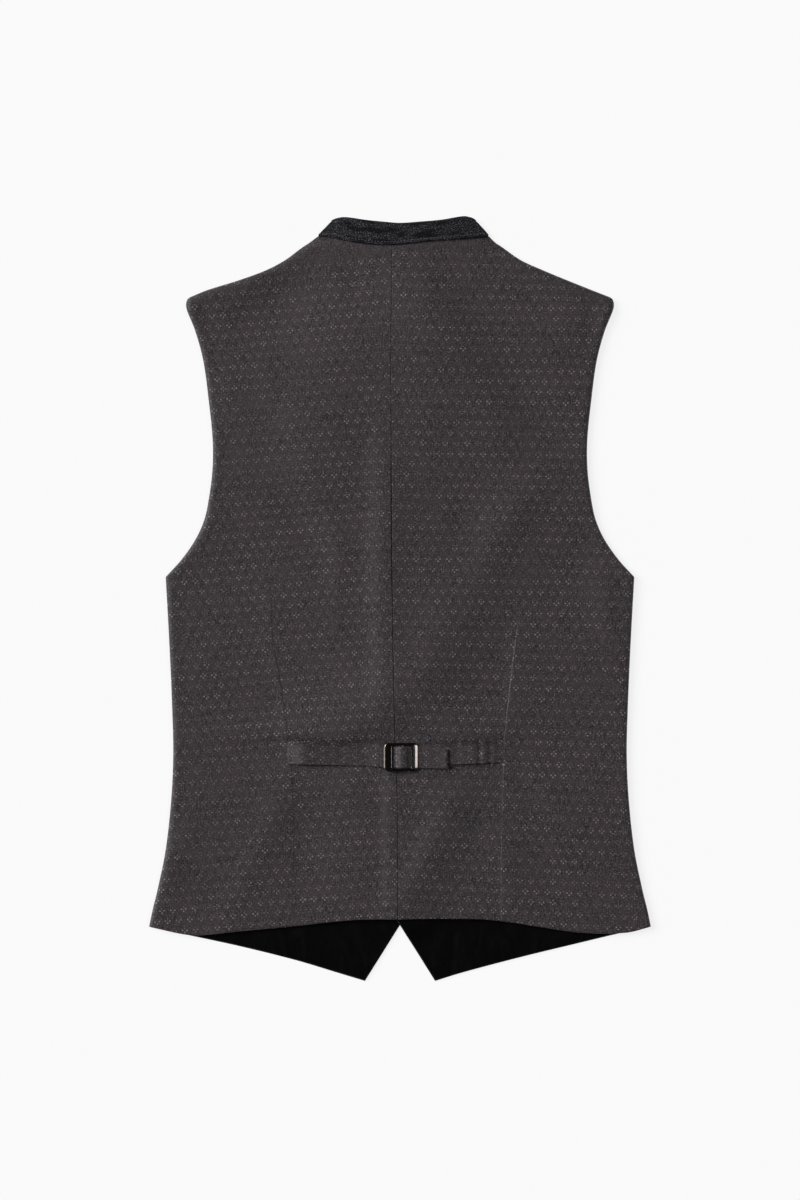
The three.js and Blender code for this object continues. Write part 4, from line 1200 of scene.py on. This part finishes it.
def strapMesh(name, path, line, width, closedEnd, crease):
    # path: place across the back and height over it, from the sewn end to the free end
    p = strapPiece
    steps, turns = 14, 5
    tangent = np.gradient(path, axis=0)
    tangent /= np.linalg.norm(tangent, axis=1)[:, None]
    normal = np.stack([-tangent[:, 1], tangent[:, 0]], 1)
    if np.mean(tangent[: len(path) // 2, 0]) < 0:
        normal = -normal
    run = runOf(path)

    def skin(inset, cutShort):
        rings = []
        for i, (x, z) in enumerate(path):
            w = float(along(width, x)) - 2 * inset
            thick = p["thick"] - 2 * inset
            toEnd = run[-1] - run[i] if closedEnd else 50.0
            tip = math.sqrt(max(0.02, 1 - (1 - min(1.0, toEnd / 1.0)) ** 2))
            section = tubeSection(w, thick, steps, turns)
            y = float(along(line, x)) + section[:, 0] * mix(0.985, 1.0, tip)
            over = section[:, 1] * tip
            lift = crease(x, y) * (over > 0) * (1 - inset / p["wall"]) if crease else 0
            base = underStrap(np.full(len(y), x), y)
            rings.append(np.stack([x + normal[i, 0] * over, y, base + z + normal[i, 1] * (over + lift)], 1))
        return rings[: len(rings) - cutShort] if cutShort else rings

    outer, inner = skin(0.0, 0), skin(p["wall"], 2 if closedEnd else 0)
    count = len(outer[0])
    faces, cuts = [], []
    around = runOf(np.vstack([outer[0], outer[0][:1]]))

    def addFace(corners, places, turned):
        faces.append(corners[::-1] if turned else corners)
        cuts.extend(places[::-1] if turned else places)

    def addSkin(first, rings, inward):
        for i in range(len(rings) - 1):
            low, high = first + i * count, first + (i + 1) * count
            for k in range(count):
                n = (k + 1) % count
                addFace([low + k, low + n, high + n, high + k],
                        [(run[i], around[k]), (run[i], around[k + 1]), (run[i + 1], around[k + 1]),
                         (run[i + 1], around[k])], inward)

    def addRim(low, high, place):
        # across the wall at an open end
        for k in range(count):
            n = (k + 1) % count
            addFace([low + k, low + n, high + n, high + k], [(place, around[k])] * 4, False)

    def addCap(ring, place, inward):
        # pairs of points that face each other across the flat tube
        facing = ring + 2 * steps + 1 + turns
        for k in range((count - turns * 2) // 2 - 1):
            addFace([ring + k, ring + k + 1, facing - k - 1, facing - k], [(place, around[k])] * 4, inward)
        for start in (steps, 2 * steps + 1 + turns):
            fan = [ring + (start + m) % count for m in range(turns + 2)]
            addFace(fan, [(place, 0.0)] * len(fan), not inward)

    innerFirst = len(outer) * count
    lastOut, lastIn = len(outer) - 1, len(inner) - 1
    addSkin(0, outer, False)
    addSkin(innerFirst, inner, True)
    addRim(innerFirst, 0, 0)  # the raw end, sewn into the dart
    if closedEnd:
        addCap(lastOut * count, run[lastOut], False)
        addCap(innerFirst + lastIn * count, run[lastIn], True)
    else:
        addRim(lastOut * count, innerFirst + lastIn * count, run[-1])
    mesh = meshFrom(name, np.concatenate(outer + inner), faces, [(-v, u) for u, v in cuts])
    return mesh, run[-1], 2 * float(along(width, path[len(path) // 3, 0]))


def buildStraps():
    p, loop = strapPiece, loopPiece
    xs = np.arange(-110.1, 46.61, 0.9)
    path = resampled(np.stack([xs, along(p["rise"], xs)], 1), p["cell"])
    crease = lambda x, y: 0.12 * np.sin(x / 3.1 + y * 0.25) * math.exp(-((x + 19) / 7) ** 2)
    leftMesh, leftLong, leftRound = strapMesh("strapLeft", path, p["line"], p["width"], True, crease)
    xs = np.arange(101.7, 3.39, -0.9)
    turn, angles = loop["turn"], np.linspace(-math.pi / 2, -3 * math.pi / 2, 12)
    roundBar = np.stack([turn["x"] + turn["radius"] * np.cos(angles),
                         turn["z"] + turn["radius"] * np.sin(angles)], 1)
    path = np.concatenate([np.stack([xs, along(loop["rise"], xs)], 1), roundBar, loop["end"]])
    crease = lambda x, y: (0.2 * math.exp(-((x - 82) / 2.4) ** 2) * np.sin(y * 0.4)
                           + 0.12 * math.exp(-((x - 62) / 3) ** 2))
    rightMesh, rightLong, rightRound = strapMesh("strapRight", resampled(softened(path), 1.0), loop["line"],
                                                 loop["width"], False, crease)
    left = addPiece(leftMesh, ["belt_left"], "back_jacquard", jacquardCloth)
    right = addPiece(rightMesh, ["belt_right"], "back_jacquard", jacquardCloth)


buildStraps()
print("belt threaded")

# slide buckle

rimUnderside = [(1, 0.9), (1, 0.35), (0.98, 0.12), (0.93, 0), (0.5, 0), (0.06, 0), (0.01, 0.1)]
bucklePiece = {
    "outer": {"left": -16.65, "right": 16.65, "y": 28.0, "corner": 4.5},
    "inner": {"left": -8.75, "right": 10.55, "y": 22.6, "corner": 1.6},
    "bar": {"x": 1.25, "width": 2.4, "thick": 1.2},
    # sections from the outer edge over the top to the inner edge: the rim is bevelled steeply on the left
    # and in a broad slope on the right, where it has been worn
    "leftSection": [(0, 0.5), (0.01, 0.72), (0.03, 0.86), (0.06, 1.06), (0.1, 1.32), (0.12, 1.5), (0.14, 1.64),
                    (0.17, 1.74), (0.24, 1.79), (0.44, 1.8), (0.8, 1.8), (0.94, 1.78), (0.985, 1.68),
                    (1, 1.5)] + rimUnderside,
    "rightSection": [(0, 0.2), (0.01, 0.34), (0.03, 0.44), (0.06, 0.52), (0.14, 0.7), (0.22, 0.87), (0.32, 1.08),
                     (0.42, 1.26), (0.5, 1.34), (0.58, 1.41), (0.8, 1.64), (0.94, 1.76), (0.985, 1.7),
                     (1, 1.5)] + rimUnderside,
}


def roundedOutline(left, right, half, corner, segments):
    # round a rectangle with turned corners, the same number of points on every corner and side
    points = []
    corners = [(right - corner, -half + corner, -90), (right - corner, half - corner, 0),
               (left + corner, half - corner, 90), (left + corner, -half + corner, 180)]
    for n, (cx, cy, start) in enumerate(corners):
        for k in range(segments + 1):
            a = math.radians(start + 90 * k / segments)
            points.append((cx + corner * math.cos(a), cy + corner * math.sin(a)))
        nx, ny, _ = corners[(n + 1) % 4]
        a = math.radians(start + 90)
        px, py = cx + corner * math.cos(a), cy + corner * math.sin(a)
        qx, qy = nx + corner * math.cos(a), ny + corner * math.sin(a)
        for k in range(1, segments):
            points.append((mix(px, qx, k / segments), mix(py, qy, k / segments)))
    return np.array(points)


def buildBuckle():
    b = bucklePiece
    outer, inner = (roundedOutline(r["left"], r["right"], r["y"] / 2, r["corner"], 12)
                    for r in (b["outer"], b["inner"]))
    baseZ = buckleLow[2] + 0.6
    count = len(b["leftSection"])
    points, faces = [], []
    for (ox, oy), (ix, iy) in zip(outer, inner):
        toRight = float(ease(ox, 2, 12))
        for (leftShare, leftZ), (rightShare, rightZ) in zip(b["leftSection"], b["rightSection"]):
            share, z = mix(leftShare, rightShare, toRight), mix(leftZ, rightZ, toRight)
            points.append((buckleX + mix(ox, ix, share), buckleY + mix(oy, iy, share), baseZ + z))
    for i in range(len(outer)):
        n = (i + 1) % len(outer)
        for k in range(count):
            m = (k + 1) % count
            faces.append((i * count + k, n * count + k, n * count + m, i * count + m))
    # the bar that the loop and the strap turn round
    first, sides, bar = len(points), 16, b["bar"]
    reach = (b["inner"]["y"] + b["outer"]["y"]) / 4
    openEnd = b["inner"]["y"] / 2 - 0.4
    ends = [-reach, -openEnd, openEnd, reach]
    for y in ends:
        for k in range(sides):
            a = math.tau * k / sides
            points.append((buckleX + bar["x"] + bar["width"] / 2 * math.cos(a), buckleY + y,
                           baseZ + 0.02 + bar["thick"] / 2 * math.sin(a)))
    for ring in range(len(ends) - 1):
        for k in range(sides):
            n = (k + 1) % sides
            low = first + ring * sides
            faces.append((low + k, low + sides + k, low + sides + n, low + n))
    faces.append(tuple(first + k for k in range(sides)))
    faces.append(tuple(first + (len(ends) - 1) * sides + k for k in reversed(range(sides))))
    addPiece(meshFrom("slideBuckle", points, faces), ["buckle"], "buckle_metal", slideFinish)


buildBuckle()
print("buckle made")

# buttons

buttonPiece = {
    "shank": 0.9,
    # across and up, from the middle of the face to the shank: a sunk face inside a raised rim
    "profile": [(0, 0.55), (3.4, 0.5), (4.9, 0.3), (5.7, 0.06), (6.4, 0.0), (7.2, 0.05), (7.75, 0.3), (8.0, 0.75),
                (7.9, 1.25), (7.4, 1.7), (6.4, 1.95), (4.0, 2.0), (1.6, 2.0), (1.05, 2.1), (0.9, 2.4)],
    "sides": 40,
}


def buildButton(number, y):
    b = buttonPiece
    top = float(rightFrontZ(0.0, y)) - vest["gap"]
    sides, shank, headEnd = b["sides"], b["shank"], b["profile"][-1][1]
    profile = b["profile"] + [(shank, mix(headEnd, top, 0.5)), (shank, top - 0.25), (shank - 0.25, top), (0, top)]
    points = [(0.0, y, profile[0][1])]
    for r, z in profile[1:-1]:
        for k in range(sides):
            a = math.tau * k / sides
            points.append((r * math.cos(a), y + r * math.sin(a), z))
    points.append((0.0, y, profile[-1][1]))
    mesh = meshFrom(f"button{number}", points, turnedFaces(0, sides, len(profile) - 2, len(points) - 1))
    addPiece(mesh, [f"button_{number}"], "button_horn", hornFinish)


for number, y in enumerate(buttonYs(), start=1):
    buildButton(number, float(y))
print("buttons sewn on")

# buttonhole stitches

holeStitch = {"pitch": 1.0, "out": 1.7, "radius": 0.3}


def stitchButtonholes():
    s, k = frontPiece["slit"], holeStitch
    rng = random.Random(9)
    left, right = vest["wrap"] - s["end"], vest["wrap"] - s["start"]
    half = s["height"] / 2
    spans = []
    for y in buttonYs():
        z = float(leftFrontZ(-5.0, y)) - 0.02
        down = (0, 0, -1)
        for x in np.arange(left, right + 0.01, k["pitch"]):
            for sign in (-1, 1):
                start = (x + rng.uniform(-0.1, 0.1), y + sign * (half + 0.15), z)
                spans.append((start, (x, y + sign * (half + k["out"]), z), down))
        for end, sign in ((left, -1), (right, 1)):
            for dy in np.linspace(-half, half, 4):
                spans.append(((end + sign * 0.15, y + dy, z), (end + sign * k["out"], y + dy * 1.2, z), down))
    addPiece(capsules("buttonholeStitches", spans, k["radius"], 0.5), [], "front_wool", threadFinish)


stitchButtonholes()
print("buttonholes worked")

# room, light and camera

room = {
    "glow": 0.825,  # of the light table the vest lies on
    "acrylic": 0.2,
    "dome": 0.12,  # of the world, and what the side walls add to it
    "leftWall": 0.3,
    "rightWall": 0.75,
    "key": {"kind": "SUN", "from": (-0.93, 0.37, 0.66), "size": 34.0, "power": 2.9},
    "rim": {"kind": "SUN", "from": (0.61, 0.09, 0.79), "size": 26.0, "power": 0.42},
    "kick": {"kind": "SUN", "from": (-0.99, -0.14, 0.11), "size": 18.0, "power": 0.12},
}


def addLight(name, light):
    data = bpy.data.lights.new(name, light["kind"])
    data.angle = math.radians(light["size"])
    data.energy = light["power"]
    lamp = bpy.data.objects.new(name, data)
    lamp.rotation_euler = (-Vector(light["from"])).to_track_quat("-Z", "Y").to_euler()
    bpy.context.scene.collection.objects.link(lamp)


def litAcrylic():
    # Opal acrylic lit from below: even and almost shadowless.
    shade = room["acrylic"]
    return newMaterial("backlitOpalAcrylic", {
        "Specular IOR Level": 0.1, "Roughness": 0.85, "Base Color": (shade, shade, shade, 1),
        "Emission Color": (1, 1, 1, 1), "Emission Strength": room["glow"]})[0]


floorMesh = bpy.data.meshes.new("floor")
floorMesh.from_pydata([(x, y, -0.0002) for x, y in ((-4, -4), (4, -4), (4, 4), (-4, 4))], [], [(0, 1, 2, 3)])
floorMesh.materials.append(litAcrylic())
floor = bpy.data.objects.new("floor", floorMesh)
bpy.context.scene.collection.objects.link(floor)

for lightName in ("key", "rim", "kick"):
    addLight(lightName, room[lightName])

world = bpy.data.worlds.new("studio")
bpy.context.scene.world = world
world.use_nodes = True
sky = world.node_tree
add = nodeAdder(sky)
across = add("SeparateXYZ", {0: add("TexCoord", out="Generated")})
walls = [(-0.25, -0.9, room["dome"], room["leftWall"]), (0.25, 0.9, 0.0, room["rightWall"])]
leftGlow, rightGlow = (add("MapRange", {"Value": across, "From Min": start, "From Max": end, "To Min": low,
                                        "To Max": high}, interpolation_type="SMOOTHSTEP")
                       for start, end, low, high in walls)
glow = add("Math", {0: leftGlow, 1: rightGlow}, operation="ADD")
sky.links.new(glow, sky.nodes["Background"].inputs["Strength"])

cameraData = bpy.data.cameras.new("camera")
cameraData.lens = 100
cameraData.sensor_width = 36
camera = bpy.data.objects.new("camera", cameraData)
camera.location = (0, -0.000245, 3.2707)
bpy.context.scene.collection.objects.link(camera)
bpy.context.scene.camera = camera
bpy.context.scene.view_settings.view_transform = "Standard"
print("room, light and camera set")
